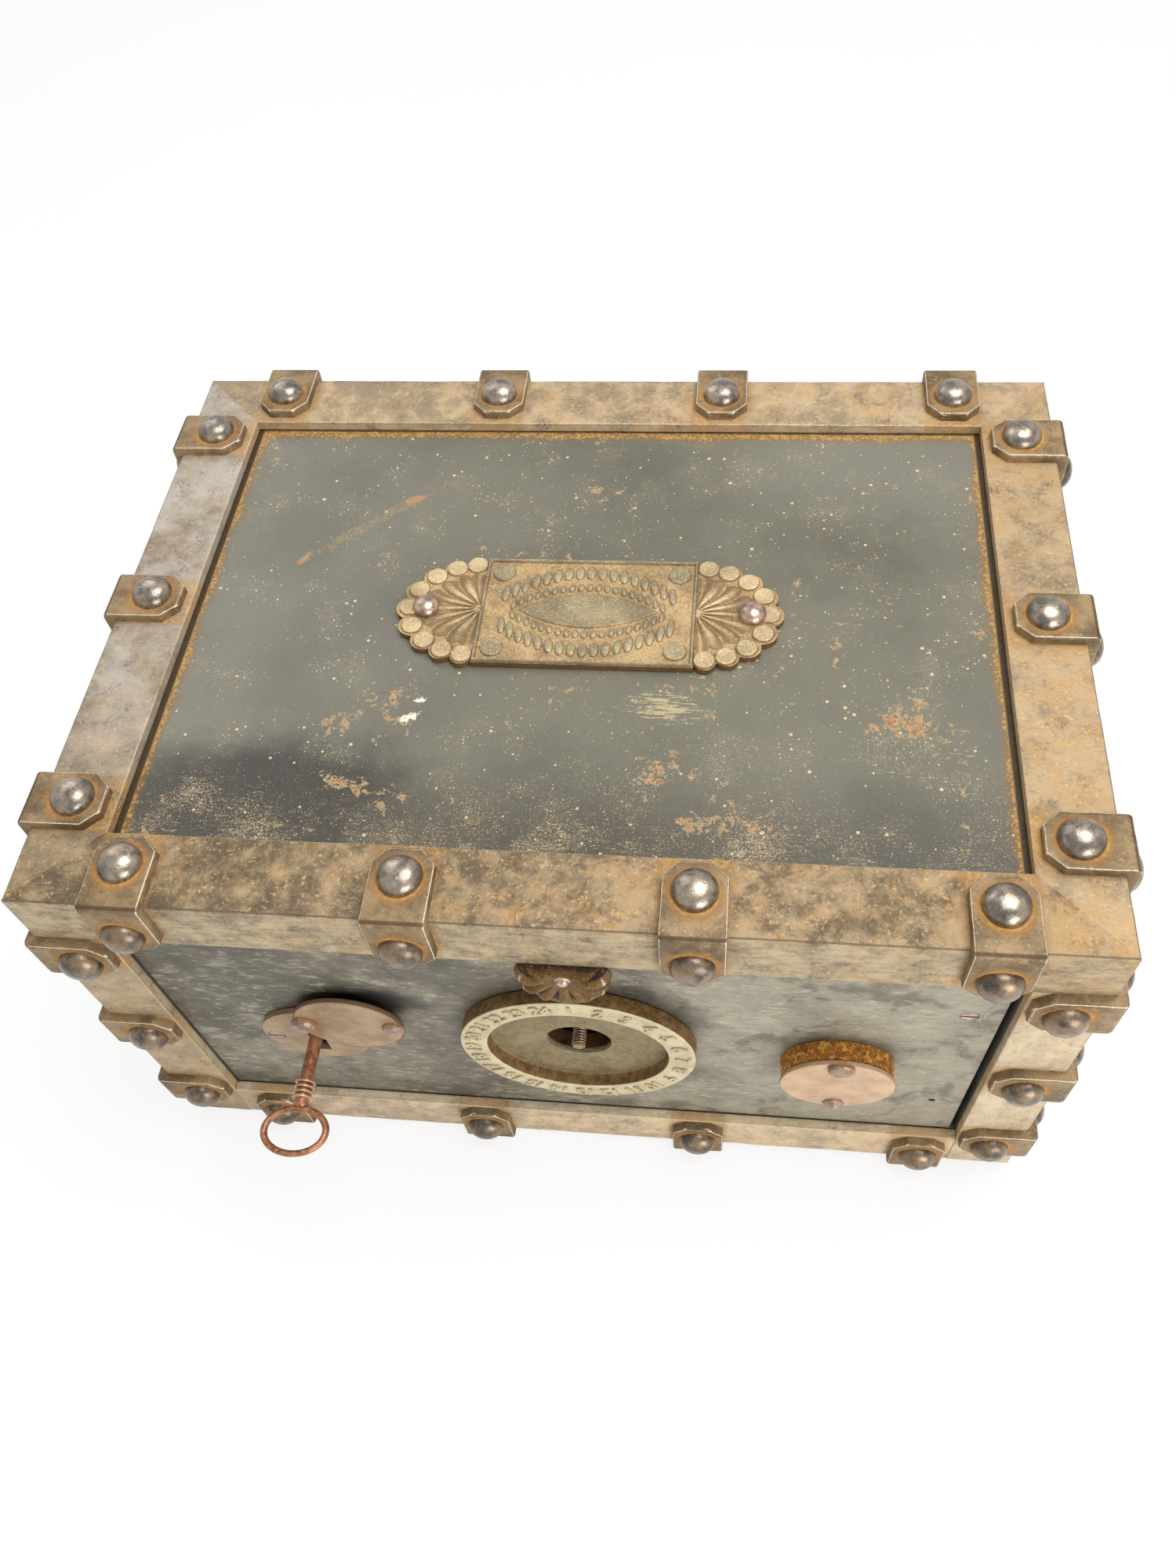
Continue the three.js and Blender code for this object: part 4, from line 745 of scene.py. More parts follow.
fit(skin("nameplate_middle", middle, high=high, skirt=drop), "box",
    plate_finish("cast plate", (126, 116, 92), (162, 151, 121)), "nameplate")
left_fan, fan_high = fan(-1)
right_fan, _ = fan(1)
rim_drop = np.zeros((fan_high.shape[0], 1))
rim_drop[[-2, -1]] = 1
fit(skin("nameplate_fans", [left_fan, right_fan], high=fan_high, skirt=rim_drop), "box",
    plate_finish("cast fans", (164, 145, 110), (210, 188, 146)), "nameplate")
up, right = np.array([0, 0, 1.0]), np.array([1.0, 0, 0])
plate_rivet = rivet_finish("plate rivet", 34, 0.7)
for side, name in ((-1, "nameplate_rivet_left"), (1, "nameplate_rivet_right")):
    centre = (PLATE[0] + side * PLATE_RIVET_OUT, PLATE[1], FACE + GAP)
    fit(skin("head_" + name, turned(dome(6.1, 4.9), centre, up, right, 40, 0.01), wrap=True,
             foot=RUSTY_FOOT), "box", plate_rivet, name)


# Door. A thick plate hung on two pegs at its right end, with a case of sheet iron behind it for the
# locks and the filling. Its paint is worn to a streaky grey. Painted shade darkens it above the fittings,
# where above the left cover old black paint is left as well, and painted light makes it paler to the right.


def door_finish():
    """Iron scoured grey, with flaky streaks that lean, pale where the metal is bare and dark along the
    edges. Painted light makes it paler to the right and at the lower left, and painted shade darkens it
    above each fitting; above the left cover that dark is also paint left in the cover's shelter."""
    f = Finish("door plate", Specular_IOR_Level=0.4, Coat_Weight=0.1, Coat_Roughness=0.3)
    cloud, haze = f.grain(60, 4, 0.55), f.grain(20, 5, 0.62, warp=0.4)
    flake = f.grain(1.0, 5, 0.66, f.place((9, 9, 3.6), (0, 0.2, 0)), 0.9)
    scale = f.grain(1.0, 4, 0.7, f.place((3.4, 3.4, 1.2), (0, 0.15, 0)), 0.5)
    fine = f.grain(1.1, 4, 0.7)
    x = f.part(f.place(), 0)
    # Painted light: the lift at the lower left (low) and the ramp in x, paler to the right, mixed with a
    # random mottle (cloud).
    low = f.blob((-150, 5, 60), (70, 60), 0, "Y").over(1.1, 0.3)
    rubbed = (x / 360 + low * 0.35 + (cloud - 0.5) * 1.2 + 0.5).over(0.1, 0.9)
    f.start(rubbed, (86, 80, 66), (150, 143, 124))
    f.lay(haze.over(0.48, 0.34) * 0.6, 70, 66, 54)
    f.lay((haze * 0.5 + flake * 0.5).over(0.48, 0.66) * 0.45, 184, 178, 158)
    f.lay((flake * 0.4 + scale * 0.6).over(0.53, 0.64) * 0.4, 198, 192, 170)
    f.lay((flake * 0.5 + scale * 0.5).over(0.46, 0.36) * 0.5, 84, 79, 66)
    f.lay((fine * 0.6 + haze * 0.4).over(0.62, 0.7) * 0.4, 196, 184, 150)
    f.lay((fine * 0.4 + f.grain(8, 4, 0.7) * 0.6).over(0.62, 0.69) * 0.6, 164, 132, 88)
    rag = (haze - 0.5) * 0.5 + (fine - 0.5) * 0.2
    # Painted shade above the left cover, the right ring and the dial, falling upwards from each fitting;
    # above the left cover it is also old black paint.
    dark = (f.blob((-88, 5, 140), (36, 19), 0.3, "Y") + rag).over(1.1, 0.35) * 0.95
    dark = dark | (f.blob((117, 5, 122), (34, 17), 0, "Y") + rag).over(1.1, 0.5) * 0.5
    dark = dark | (f.blob((24, 5, 150), (46, 24), -0.5, "Y") + rag).over(1.1, 0.6) * 0.6
    f.lay(dark, 28, 28, 26)
    inside = (f.part(f.place(), 1) - ORIGIN[1]).over(5.7, 6.3)
    f.lay(inside, f.between(haze.over(0.4, 0.6), (34, 22, 12), (84, 56, 30)))
    height = flake * 0.9 + scale * 0.6 + fine * 0.25
    return f.finish(0.38 + flake * 0.25, height, 0.4, 0.25)


dress(door_finish(), "door_plate")


# Dial ring. The cast setting of a dial that has gone: a flat band with raised numbers, a rusty wall
# and a sunk floor with a hole, where the end of the spindle shows.

DIAL = np.array([4.2, 0, 115.3])
BACK, BAND_FRONT, FLOOR_FRONT = 4.9, -2.2, 3.7
RIM, BAND_IN, HOLE = 51.7, 40.0, 14.3
BAND_NUMBERS, NUMBER_HIGH, NUMBER_DEEP = 24, 6.8, 1.2
forward = np.array([0, -1.0, 0])


def eased(profile, radius, parts=4):
    """An open profile with its inner corners rounded: each is a parabola that starts and ends radius
    away, or less where the side is short. A straight side gets points along it every 4 mm."""
    def straight(here, there):
        count = int(np.linalg.norm(there - here) / 4) + 1
        return here + np.linspace(0, 1, count + 1)[1:, None] * (there - here)

    profile = np.asarray(profile, float)
    made = [profile[:1]]
    for before, corner, after in zip(profile, profile[1:], profile[2:]):
        back, on = before - corner, after - corner
        reach = min(radius, np.linalg.norm(back) / 2.1, np.linalg.norm(on) / 2.1)
        start, end = corner + back * reach / np.linalg.norm(back), corner + on * reach / np.linalg.norm(on)
        step = np.linspace(0, 1, parts)[:, None]
        arc = (1 - step) ** 2 * start + 2 * step * (1 - step) * corner + step ** 2 * end
        made += [straight(made[-1][-1], start)[:-1], arc]
    return np.concatenate([*made, straight(made[-1][-1], profile[-1])])


def numbers_round(centre, radius, height, depth, count):
    """Raised numbers 1 to count standing round a ring, their tops outwards. Each is drawn flat, its
    figures become a mesh, and the mesh is turned to its place and stood off the band. The mark wall
    is 1 at their feet, whose dark colour is painted shade round each figure."""
    points, faces, feet = [], [], []
    for number in range(count):
        curve = bpy.data.curves.new("number", "FONT")
        curve.body, curve.size, curve.extrude = str(number + 1), height * 1.35, depth / 2
        curve.bevel_depth, curve.resolution_u, curve.offset = 0.12, 3, 0.12
        curve.align_x, curve.align_y = "CENTER", "CENTER"
        drawn = bpy.data.objects.new("number", curve)
        bpy.context.scene.collection.objects.link(drawn)
        flat = bpy.data.meshes.new_from_object(drawn.evaluated_get(bpy.context.evaluated_depsgraph_get()))
        spots = np.empty(len(flat.vertices) * 3, "f")
        flat.vertices.foreach_get("co", spots)
        spots = spots.reshape(-1, 3)
        angle = -2 * np.pi * number / count
        across = np.array([math.cos(angle), 0, math.sin(angle)])
        outward = np.array([-math.sin(angle), 0, math.cos(angle)])
        start = sum(len(p) for p in points)
        points.append(centre + spots[:, :1] * across + (radius + spots[:, 1:2]) * outward
                      + spots[:, 2:] * forward)
        faces += [tuple(start + corner for corner in face.vertices) for face in flat.polygons]
        feet.append(spots[:, 2] < 0)
        bpy.data.objects.remove(drawn)
        bpy.data.meshes.remove(flat)
        bpy.data.curves.remove(curve)
    return closed("dial_numbers", np.concatenate(points), faces, {"wall": np.concatenate(feet)}, False)


def cast_finish(name, band, dip, wall):
    """A casting whose face is rubbed pale, its sunk floor is a duller tone and its walls are rusty.
    The marks dip and wall say which is which, and edge lays a pale line. On the raised numbers the dark
    walls are painted shade, and on the rosette the pale edge along the petals' crests is a painted highlight."""
    f = Finish(name, Specular_IOR_Level=0.35)
    cloud, blotch, fine = f.grain(16, 4, 0.6), f.grain(4, 5, 0.65, warp=0.5), f.grain(0.9, 4, 0.7)
    shade = (cloud * 0.5 + blotch * 0.5).over(0.36, 0.62)
    f.start(shade, np.array(band) - 24, band)
    f.lay(f.mark("dip").over(0.3, 0.7), f.between(shade, np.array(dip) - 24, dip))
    rust = f.between(blotch.over(0.4, 0.62), np.array(wall) - 30, wall)
    f.lay((f.mark("wall") + (fine - 0.5) * 0.6).over(0.3, 0.7), rust)
    f.lay(fine.over(0.55, 0.7) * 0.35, 222, 206, 166)
    f.lay((fine * 0.6 + blotch * 0.4).over(0.44, 0.35) * 0.5, 86, 70, 46)
    f.lay((f.mark("edge") + (fine - 0.5)).over(0.5, 0.9) * 0.6, 224, 212, 180)
    return f.finish(0.42 + blotch * 0.25, fine * 0.6 + blotch * 0.7, 0.25, 0.25 - f.mark("wall") * 0.2)


ring = eased([(HOLE, BACK), (RIM, BACK), (RIM, BAND_FRONT), (BAND_IN, BAND_FRONT),
              (BAND_IN - 0.6, FLOOR_FRONT), (HOLE, FLOOR_FRONT), (HOLE, BACK)], 0.7)
out, depth = ring[:, :1], ring[:, 1:]
dial = turned(np.concatenate([out, -depth], 1), DIAL, forward, right, 144)
dial[..., 1] -= np.where(depth < BAND_FRONT + 0.2, uneven(dial, 6, 41) * 0.1, 0)
sunk = ((out < BAND_IN - 0.9) & (depth < 4.5)) * 1.0
on_wall = ((depth > BAND_FRONT + 0.5) & (out > BAND_IN - 0.9)) * 1.0
on_edge = ((np.abs(out - BAND_IN) < 0.5) | (np.abs(out - RIM) < 0.6)) & (depth < BAND_FRONT + 0.3)
rusty_dial = cast_finish("dial casting", (206, 194, 160), (140, 125, 93), (128, 98, 60))
fit(skin("dial_casting", dial, wrap=True, dip=sunk, wall=on_wall, edge=on_edge * 1.0), "door",
    rusty_dial, "dial_ring")
numbers = numbers_round(DIAL + [0, BAND_FRONT - 0.12, 0], (RIM + BAND_IN) / 2, NUMBER_HIGH, NUMBER_DEEP,
                        BAND_NUMBERS)
# The walls of the numbers are painted dark as shade round the raised figures.
fit(numbers, "door",
    cast_finish("number relief", (198, 184, 150), (150, 136, 104), (98, 70, 40)), "dial_ring")


# Rosette. A casting of eleven plump petals over a round boss, held above the dial by a small ringed
# screw. Its top is cut off flat under the iron.

ROSETTE = np.array([4.5, 0, 191.0])
CEILING = 198.1
BOSS_DROP = 7.9


def rosette_face(reach=19.4, petals=11):
    """The casting's front, ray by ray from its middle. off runs from 0 in the middle of a petal to 1
    where two meet. A petal's outline is part of an ellipse, its height a power of the sine of the
    distance out, and the valley between two deepens outwards as the square of off. A ray that meets the
    top iron's edge is cut off flat there. Then the outline is drawn back to the door."""
    f, a = np.meshgrid(np.append(np.linspace(0, 0.86, 36), 1 - 0.14 * np.linspace(0.95, 0, 16) ** 2),
                       np.linspace(0, 2 * np.pi, petals * 26, endpoint=False), indexing="ij")
    off = 2 * np.abs(((a + np.pi / 2) * petals / (2 * np.pi) + 0.5) % 1 - 0.5)
    rim = reach - 3.0 + 3.0 * np.sqrt(1 - (0.97 * off) ** 2)
    cut = np.where(np.sin(a) > 0.01, (CEILING - ROSETTE[2]) / np.maximum(np.sin(a), 0.01), 99)
    rho = f * np.minimum(1, cut / rim)
    valley = off ** 2 * np.clip((rho - 0.2) / 0.5, 0, 1)
    front = 1.5 * (1 - rho ** 8) + 5.0 * np.sin(np.pi * rho ** 1.7) ** 0.6 * (1 - 0.95 * valley)
    rows = [(rho * rim, -front)]
    for inset, y in ((0.3, 0.8), (1.2, 1.2), (reach - 15.6, 1.4), (reach - 15.6, BACK), (99, BACK)):
        rows.append((np.clip(np.minimum(rim - inset, cut), 0, None)[-1:], np.full((1, a.shape[1]), y)))
    out, y = (np.concatenate(part) for part in zip(*rows))
    grid = ROSETTE + np.stack([out * np.cos(a[:1]), y, out * np.sin(a[:1])], -1)
    groove = np.clip((valley - 0.25) * 2.5, 0, 1)
    # tip: a pale line along each petal's crest where its surface turns over, a painted highlight.
    tip = np.exp(-((rho - 0.87) / 0.04) ** 2) * (1 - off ** 2)
    skirt = np.zeros((5, a.shape[1]))
    return grid, *(np.concatenate(mark) for mark in ((groove, skirt), (tip, skirt), (0 * tip, skirt + 1)))


petals, grooves, crest_highlights, sides = rosette_face()
rosette_cast = cast_finish("rosette casting", (114, 84, 44), (54, 34, 15), (70, 44, 21))
# The crest line given as edge is a painted highlight.
fit(skin("rosette_face", petals, wrap=True, dip=grooves, wall=sides, edge=crest_highlights), "door",
    rosette_cast, "rosette")
boss = eased([(0, -2.0), (9.0, -2.0), (9.6, -2.6), (13.6, -2.6), (15, -1.2), (15, BACK), (0, BACK)], 0.5)
lip = np.where((boss[:, :1] > 13.2) & (boss[:, 1:] < -1.4), 0.9, 0)
dark = np.where(boss[:, :1] < 12.8, 0.8, 0.3)
fit(skin("rosette_boss", turned(boss * [1, -1], ROSETTE - [0, 0, BOSS_DROP], forward, right, 72),
         wrap=True, dip=dark, wall=np.zeros((1, 1)), edge=lip), "door", rosette_cast,
    "rosette")
small_screw = rivet_finish("small screw", 30, 0.4)
button = eased([(0, 3.5), (1.4, 3.4), (2.3, 2.6), (2.5, 1.9), (3.4, 1.6), (3.4, 0.9), (2.9, 0.5),
                (2.9, -0.3)], 0.4)
fit(skin("button_rosette_screw", turned(button, ROSETTE - [0, 1.7, 0], forward, right, 40), wrap=True,
         foot=np.zeros((1, 1))), "door", small_screw, "rosette_screw")


# Left escutcheon. A round plate over the keyhole, with a countersunk screw and a round cover that
# hangs on a rivet. Here the cover is swung to the right, clear of the key.

LEFT_KEY, RIGHT_KEY = np.array([-117.5, 0, 105.5]), np.array([117.0, 0, 105.5])
PIVOT_RISE = np.array([0, 0, 20.5])
SWUNG_OUT = np.array([20.5, 0, 0])
DISC = 24.6
COVER = 2.2


def plate_steel(name, first, second, rim):
    """Smooth sheet steel with a soft warm bloom, fine scratches and a rusty rim."""
    f = Finish(name, Specular_IOR_Level=0.4)
    cloud, blotch, fine = f.grain(15, 4, 0.6), f.grain(4, 4, 0.6, warp=0.5), f.grain(0.8, 3, 0.7)
    hair = f.grain(1.0, 3, 0.6, f.place((14, 14, 0.7), (0, 0.9, 0)))
    f.start(cloud.over(0.32, 0.66), first, second)
    f.lay((blotch * 0.6 + fine * 0.4).over(0.55, 0.68) * 0.35, 214, 186, 154)
    f.lay(hair.over(0.6, 0.68) * 0.3, 222, 200, 172)
    f.lay((blotch * 0.6 + fine * 0.4).over(0.44, 0.35) * 0.4, 112, 84, 58)
    rust = (f.mark("rim") + (fine - 0.5) * 0.5 + (blotch - 0.5) * 0.5).over(0.4, 0.9)
    f.lay(rust * 0.85, *rim)
    return f.finish(0.36 + cloud * 0.2 + rust * 0.25, blotch * 0.6 + fine * 0.3, 0.14, 0.45 - rust * 0.4)


def disc(centre, radius, front, thick, dish=0.15):
    """A round plate with soft edges, its face very slightly dished. Returns the grid and its rim."""
    flat = np.linspace(0, radius - 0.6, 16)
    face = np.stack([flat, front + dish * (1 - (flat / radius) ** 2)], 1)
    edge = np.array([(radius - 0.2, front + 0.1), (radius, front + 0.45), (radius, front + thick - 0.4),
                     (radius - 0.4, front + thick), (0, front + thick)])
    profile = np.concatenate([face, edge])
    rim = np.clip((profile[:, :1] - radius + 1.6) / 1.5, 0, 1) + (profile[:, 1:] > front + 0.4)
    return turned(profile * [1, -1], centre, forward, right, 96), np.clip(rim, 0, 1)


def faceted(name, profile, rusty, centre, facets, body, finish, node):
    """A head filed into flats, standing out from the door. rusty says how rusty each ring of it is."""
    fit(skin(name, turned(profile, centre, forward, right, facets), wrap=True, crease=18,
             foot=np.array(rusty)[:, None]), body, finish, node)


beige_steel = plate_steel("beige steel", (142, 118, 90), (172, 146, 114), (92, 62, 40))
dress(beige_steel, "left_escutcheon")
slotted = rivet_finish("slotted screws", 20, 0.5)
dress(slotted, "escutcheon_screw", "case_screw")
swung, rim = disc(LEFT_KEY + PIVOT_RISE + SWUNG_OUT, DISC, -GAP, COVER)
fit(skin("left_cover_plate", swung, wrap=True, rim=rim), "left_cover", beige_steel,
    "left_cover")
brown_rivet = rivet_finish("brown rivet", 18, 0.5, 0.9)
faceted("left_cover_knob", [(0, 3.3), (2.8, 3.1), (4.5, 2.3), (5.3, 0.9), (5.4, -0.3)], (0, 0, 0.2, 0.7, 1),
        LEFT_KEY + PIVOT_RISE + 2 * SWUNG_OUT - [0, GAP, 0], 9, "left_cover", brown_rivet, "left_cover")
faceted("head_left_cover_pivot", [(0, 3.6), (2.8, 3.45), (4.6, 2.7), (5.6, 1.2), (5.8, 0.2), (5.8, -0.3)],
        (0, 0, 0.2, 0.7, 1, 1), LEFT_KEY + PIVOT_RISE - [0, 0.7, 0], 11, "door", brown_rivet,
        "left_cover_pivot")


# Right escutcheon. A thick ring whose flaky golden rust shows all round, with a pale cover hanging
# shut over its keyhole. The cover has a pointed thumb screw at its foot.


def keyhole_reach(angle, round_part=3.9, half_slot=3.3, foot=16.0):
    """How far the keyhole's edge is from the key's line, at each angle from +X: the round part's
    radius, or within the slot the nearer of its side and its foot."""
    down, across = -np.sin(angle), np.abs(np.cos(angle))
    slot = np.minimum(half_slot / np.maximum(across, 1e-6), foot / np.maximum(down, 1e-6))
    return np.where((down > 0) & (slot > round_part), slot, round_part)


def flaky_finish():
    """Forged iron under thick golden rust that flakes, with bright gold where a flake has come off."""
    f = Finish("flaky ring", Specular_IOR_Level=0.35)
    blotch, fine, flake = f.grain(4, 5, 0.7, warp=0.5), f.grain(0.9, 4, 0.7), f.cells(2.4)
    f.start((blotch * 0.6 + fine * 0.4).over(0.38, 0.62), (124, 73, 22), (186, 120, 40))
    f.lay((fine * 0.6 + flake * 0.4).over(0.5, 0.64) * 0.7, 234, 178, 84)
    f.lay(fine.over(0.42, 0.32) * 0.6, 58, 36, 18)
    return f.finish(0.5 + blotch * 0.25, fine + flake * 0.8 + blotch, 0.5, 0.1)


ring_front = -3.3
around = np.linspace(0, 2 * np.pi, 216, endpoint=False)
inner = keyhole_reach(around)
part = np.concatenate([[0, 0], np.linspace(0, 0.985, 12), [1, 1, 1], np.linspace(0.99, 0, 12)])[:, None]
depth = np.concatenate([[BACK, ring_front], np.full(12, ring_front), [ring_front + 0.5, 0.8, BACK],
                        np.full(12, BACK)])[:, None] + 0 * around
reach = inner + part * (DISC - 0.2 - inner)
side = (part == 1) & (depth > ring_front) & (depth < BACK)
lump = uneven(np.stack([around * 24 + 0 * depth, depth, 0 * depth], -1), 2.6, 51)
reach = reach - side * (0.15 + np.abs(lump) * 0.35)
grid = RIGHT_KEY + np.stack([reach * np.cos(around), depth, reach * np.sin(around)], -1)
fit(skin("right_ring", grid, wrap=True), "door", flaky_finish(), "right_escutcheon")
pale_steel = plate_steel("pale steel", (182, 150, 118), (208, 178, 146), (150, 112, 76))
shut, rim = disc(RIGHT_KEY, DISC, ring_front - 2.5, COVER)
fit(skin("right_cover_plate", shut, wrap=True, rim=rim * 0.7), "right_cover", pale_steel,
    "right_cover")
faceted("right_cover_point", [(0, 3.4), (1.2, 3.1), (2.4, 2.3), (4.6, 0.9), (4.9, 0.2), (4.9, -0.4)],
        (0, 0, 0, 0.3, 0.9, 1), RIGHT_KEY - PIVOT_RISE + [0, ring_front - 2.5, 0], 8, "right_cover",
        brown_rivet, "right_cover")
faceted("head_right_cover_pivot", [(0, 2.0), (3.6, 1.9), (5.2, 1.5), (5.8, 0.8), (5.8, -0.3)],
        (0, 0, 0.3, 0.9, 1), RIGHT_KEY + PIVOT_RISE + [0, ring_front - 3.2, 0], 13, "door",
        rivet_finish("grey rivet", 4, 0.3, 0.8), "right_cover_pivot")


# Key. A turned stem with four collars, forged in one with a bit that is stepped for the levers, and
# an oval ring for a bow, brazed to its end.

NECK, TIP = -31.7, 28.9
COLLARS, COLLAR_START, COLLAR_PITCH = 4, -19.5, 2.3
BOW_CENTRE, BOW_WIDE, BOW_LONG, BOW_WIRE = -42.0, 13.9, 10.03, 1.5
BIT_STEPS = ((14.1, 18.5, 15.2), (18.5, 21.4, 14.7), (21.4, 24.3, 13.7), (24.3, 27.2, 14.2))
BIT_HALF = 1.8


def key_finish(name, first, second, worn):
    """Iron with a thin red rust, rubbed brown on what the fingers hold and pale on the collars."""
    f = Finish(name, Specular_IOR_Level=0.5)
    cloud, blotch, fine = f.grain(7, 4, 0.6), f.grain(2.4, 4, 0.65, warp=0.4), f.grain(0.7, 3, 0.7)
    f.start((cloud * 0.5 + blotch * 0.5).over(0.38, 0.6), first, second)
    f.lay(fine.over(0.56, 0.7) * 0.5, 204, 154, 118)
    f.lay((f.mark("high") + (blotch - 0.5)).over(0.4, 0.9) * 0.7, *worn)
    f.lay(fine.over(0.42, 0.32) * 0.5, 64, 40, 28)
    return f.finish(0.24 + blotch * 0.28, blotch * 0.8 + fine * 0.5, 0.15, 0.6)


collars = [(3.1, NECK + 1.0)]
for i in range(COLLARS - 1, -1, -1):
    y = COLLAR_START - i * COLLAR_PITCH
    collars += [(3.1, y - 1.75), (4.5, y - 1.25), (4.6, y - 0.85), (4.5, y - 0.45), (3.1, y)]
stem = np.array([(0, NECK), (2.4, NECK + 0.1)] + collars + [(3.0, -12), (3.1, 4), (3.1, TIP), (2.6, TIP),
                                                             (2.6, TIP + 2.1), (0, TIP + 2.1)])
stem = np.concatenate([[a + (b - a) * k / 3 for k in range(3)] for a, b in zip(stem, stem[1:])] + [stem[-1:]])
worn = np.clip((stem[:, :1] - 3.2) / 1.2, 0, 1)
red_iron = key_finish("red iron", (132, 84, 58), (186, 134, 102), (220, 182, 150))
fit(skin("key_stem", turned(stem * [1, -1], LEFT_KEY, forward, right, 40), wrap=True, high=worn), "key",
    red_iron, "key")
a, b = np.meshgrid(np.linspace(0, 2 * np.pi, 97), np.linspace(0, 2 * np.pi, 20, endpoint=False),
                   indexing="ij")
wire = BOW_WIRE * (1 + 0.05 * np.sin(2 * a + 1) + 0.25 * np.exp(-((a - np.pi / 2) / 0.22) ** 2))
bow = LEFT_KEY + np.stack([(BOW_WIDE + wire * np.cos(b)) * np.cos(a),
                           BOW_CENTRE + (BOW_LONG + wire * np.cos(b)) * np.sin(a),
                           np.minimum(wire, BOW_WIRE * 1.1) * np.sin(b)], -1)
# high grows towards the top of the bow's wire: its paler upper side is a painted highlight.
fit(skin("key_bow", bow, wrap=True, high=0.25 + 0.25 * np.sin(b)), "key",
    key_finish("bow iron", (130, 84, 58), (174, 122, 86), (220, 176, 138)), "key")
steps = np.array([(y, -radius) for start, end, radius in BIT_STEPS for y in (start, end)])
edge = np.concatenate([[(BIT_STEPS[0][0], 0)], steps, [(BIT_STEPS[-1][1], 0)]])
bit = np.stack([LEFT_KEY + np.stack([np.full(len(edge), x), edge[:, 0], edge[:, 1]], -1)
                for x in (-BIT_HALF, BIT_HALF)])
fit(skin("key_bit", bit, wrap=True, ends=True, high=np.zeros((1, 1))), "key", red_iron, "key")


# Locks. Behind the door plate stand two key locks with a bolt, three brass levers and their springs
# each, and between them the combination lock with its spindle, three wheels and fence.

lock_steel = plain_finish("lock steel", (128, 128, 124), (156, 155, 150), 0.25, 0.9, 12.0)
lock_brass = plain_finish("lock brass", (160, 132, 72), (190, 160, 96), 0.28, 0.9)
for hand in ("left", "right"):
    dress(lock_steel, hand + "_lock_case", hand + "_bolt", hand + "_lever_springs")
    dress(lock_brass, *[f"{hand}_lever_{i}" for i in (1, 2, 3)])
old_iron = plain_finish("old lock iron", (70, 50, 30), (118, 84, 50), 0.5, 0.3, 6.0)
dress(old_iron, "combination_case")
dress(lock_steel, "fence_lever")
dress(lock_brass, *[f"combination_wheel_{i}" for i in (1, 2, 3)])
spindle_iron = plain_finish("spindle iron", (112, 84, 58), (160, 128, 94), 0.35, 0.5, 4.0)
dress(spindle_iron, "spindle")
THREAD, THREAD_TIP, THREAD_END, PITCH = 2.5, 0.6, 13.0, 1.25
y, a = np.meshgrid(np.linspace(THREAD_TIP, THREAD_END, 150), np.linspace(0, 2 * np.pi, 28, endpoint=False),
                   indexing="ij")
wave = np.abs(((y / PITCH + a / (2 * np.pi)) % 1) - 0.5) * 2
reach = (THREAD + 0.05 + 0.6 * wave) * np.clip((y - THREAD_TIP) / 0.6, 0, 1) ** 0.4
stud = DIAL + np.stack([reach * np.cos(a), y, reach * np.sin(a)], -1)
# The stud's pale end is a painted highlight; the thread's crests are paler than its roots.
fit(skin("spindle_thread", stud, wrap=True, high=np.maximum(wave, (y < THREAD_TIP + 0.8) * 1.0)), "spindle",
    key_finish("thread iron", (52, 36, 22), (86, 62, 40), (176, 146, 112)))


# The table, the light and the camera


class Sky(Finish):
    """The nodes of a world."""

    def __init__(self, world):
        world.use_nodes = True
        self.tree = world.node_tree


def ray(finish, kind):
    """1 for the rays of one kind, and 0 for the others."""
    return finish.node("ShaderNodeLightPath", {}, {}, f"Is {kind} Ray")


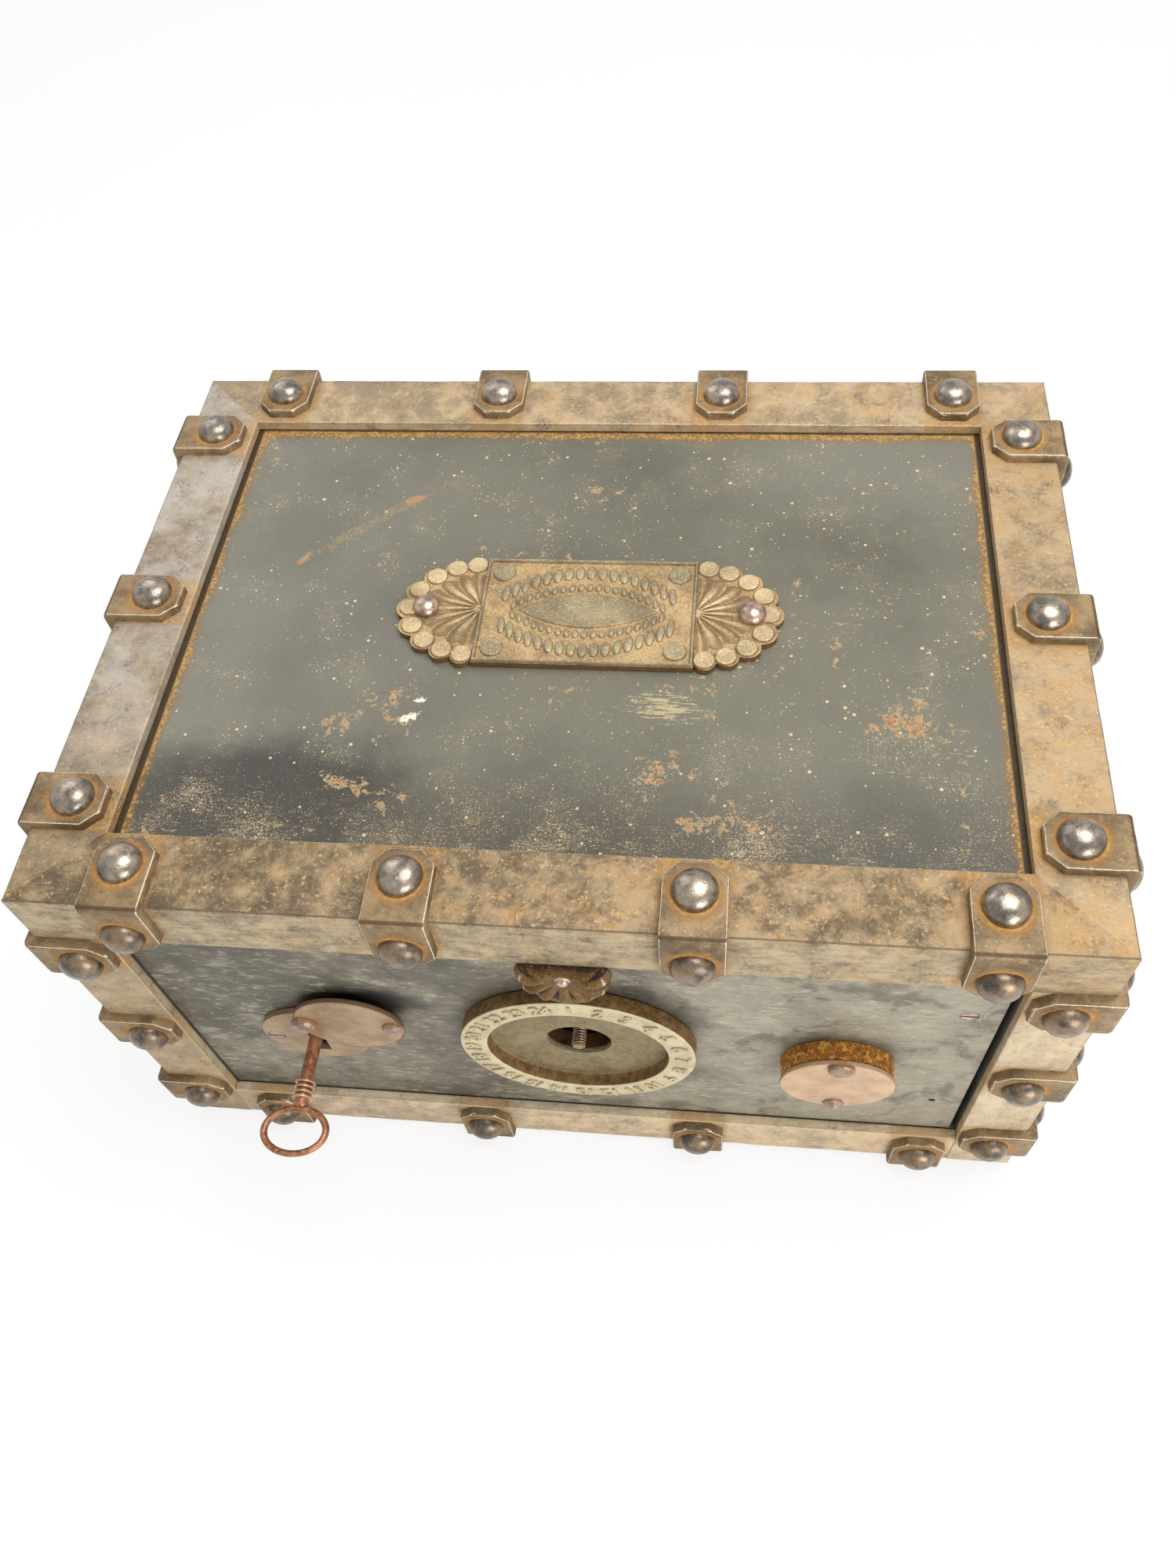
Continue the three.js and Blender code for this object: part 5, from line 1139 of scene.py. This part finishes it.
world = bpy.data.worlds.new("studio")
bpy.context.scene.world = world
sky = Sky(world)
dim = sky.node("ShaderNodeBackground", {}, {"Color": (1, 1, 1, 1), "Strength": 0.55})
bright = sky.node("ShaderNodeBackground", {}, {"Strength": 1.0})
direct = ray(sky, "Camera") | ray(sky, "Glossy") | ray(sky, "Transmission")
sky.feed(sky.tree.nodes["World Output"].inputs["Surface"],
         sky.node("ShaderNodeMixShader", {}, [direct, dim, bright]))

bpy.ops.mesh.primitive_plane_add(size=60, location=(0, 0, 0))
table = bpy.context.object
table.name = "table"
top = Finish("table top", Specular_IOR_Level=0.2)
haze = top.grain(300, 2, 0.5)
top.start(haze.over(0.3, 0.7), (250, 250, 249), (254, 254, 253))
table.data.materials.append(top.finish(0.8 + haze * 0.1))
lit = Value(top, top.shader.outputs[0])
glow = top.node("ShaderNodeEmission", {}, {})
top.feed(top.tree.nodes["Material Output"].inputs["Surface"],
         top.node("ShaderNodeMixShader", {}, [ray(top, "Camera") * 0.8, lit, glow]))


def lamp(name, spot, size, watts, aim=(0, 0, 0.12)):
    data = bpy.data.lights.new(name, "AREA")
    data.shape, data.size, data.energy = "DISK", size, watts
    made = bpy.data.objects.new(name, data)
    made.location = spot
    away = np.array(spot) - np.array(aim)
    made.rotation_euler = (math.atan2(math.hypot(away[0], away[1]), away[2]), 0,
                           math.atan2(away[0], -away[1]))
    bpy.context.scene.collection.objects.link(made)


lamp("front window", (0.8, -1.3, 0.45), 0.9, 11)
lamp("overhead", (0.4, 0.05, 1.5), 1.0, 17)
lamp("back window", (-0.7, 0.75, 1.05), 0.8, 2.5)

eye = bpy.data.cameras.new("eye")
eye.sensor_fit, eye.sensor_height = "VERTICAL", 36
eye.lens, eye.shift_x, eye.shift_y = 28.49, -0.0026, -0.0078
eye.clip_start, eye.clip_end = 0.02, 30
camera = bpy.data.objects.new("camera", eye)
camera.location = (0.06687, -0.33682, 0.63456)
camera.rotation_euler = [math.radians(a) for a in (34.545, 4.108, 5.402)]
bpy.context.scene.collection.objects.link(camera)
bpy.context.scene.camera = camera
bpy.context.scene.view_settings.view_transform = "Standard"
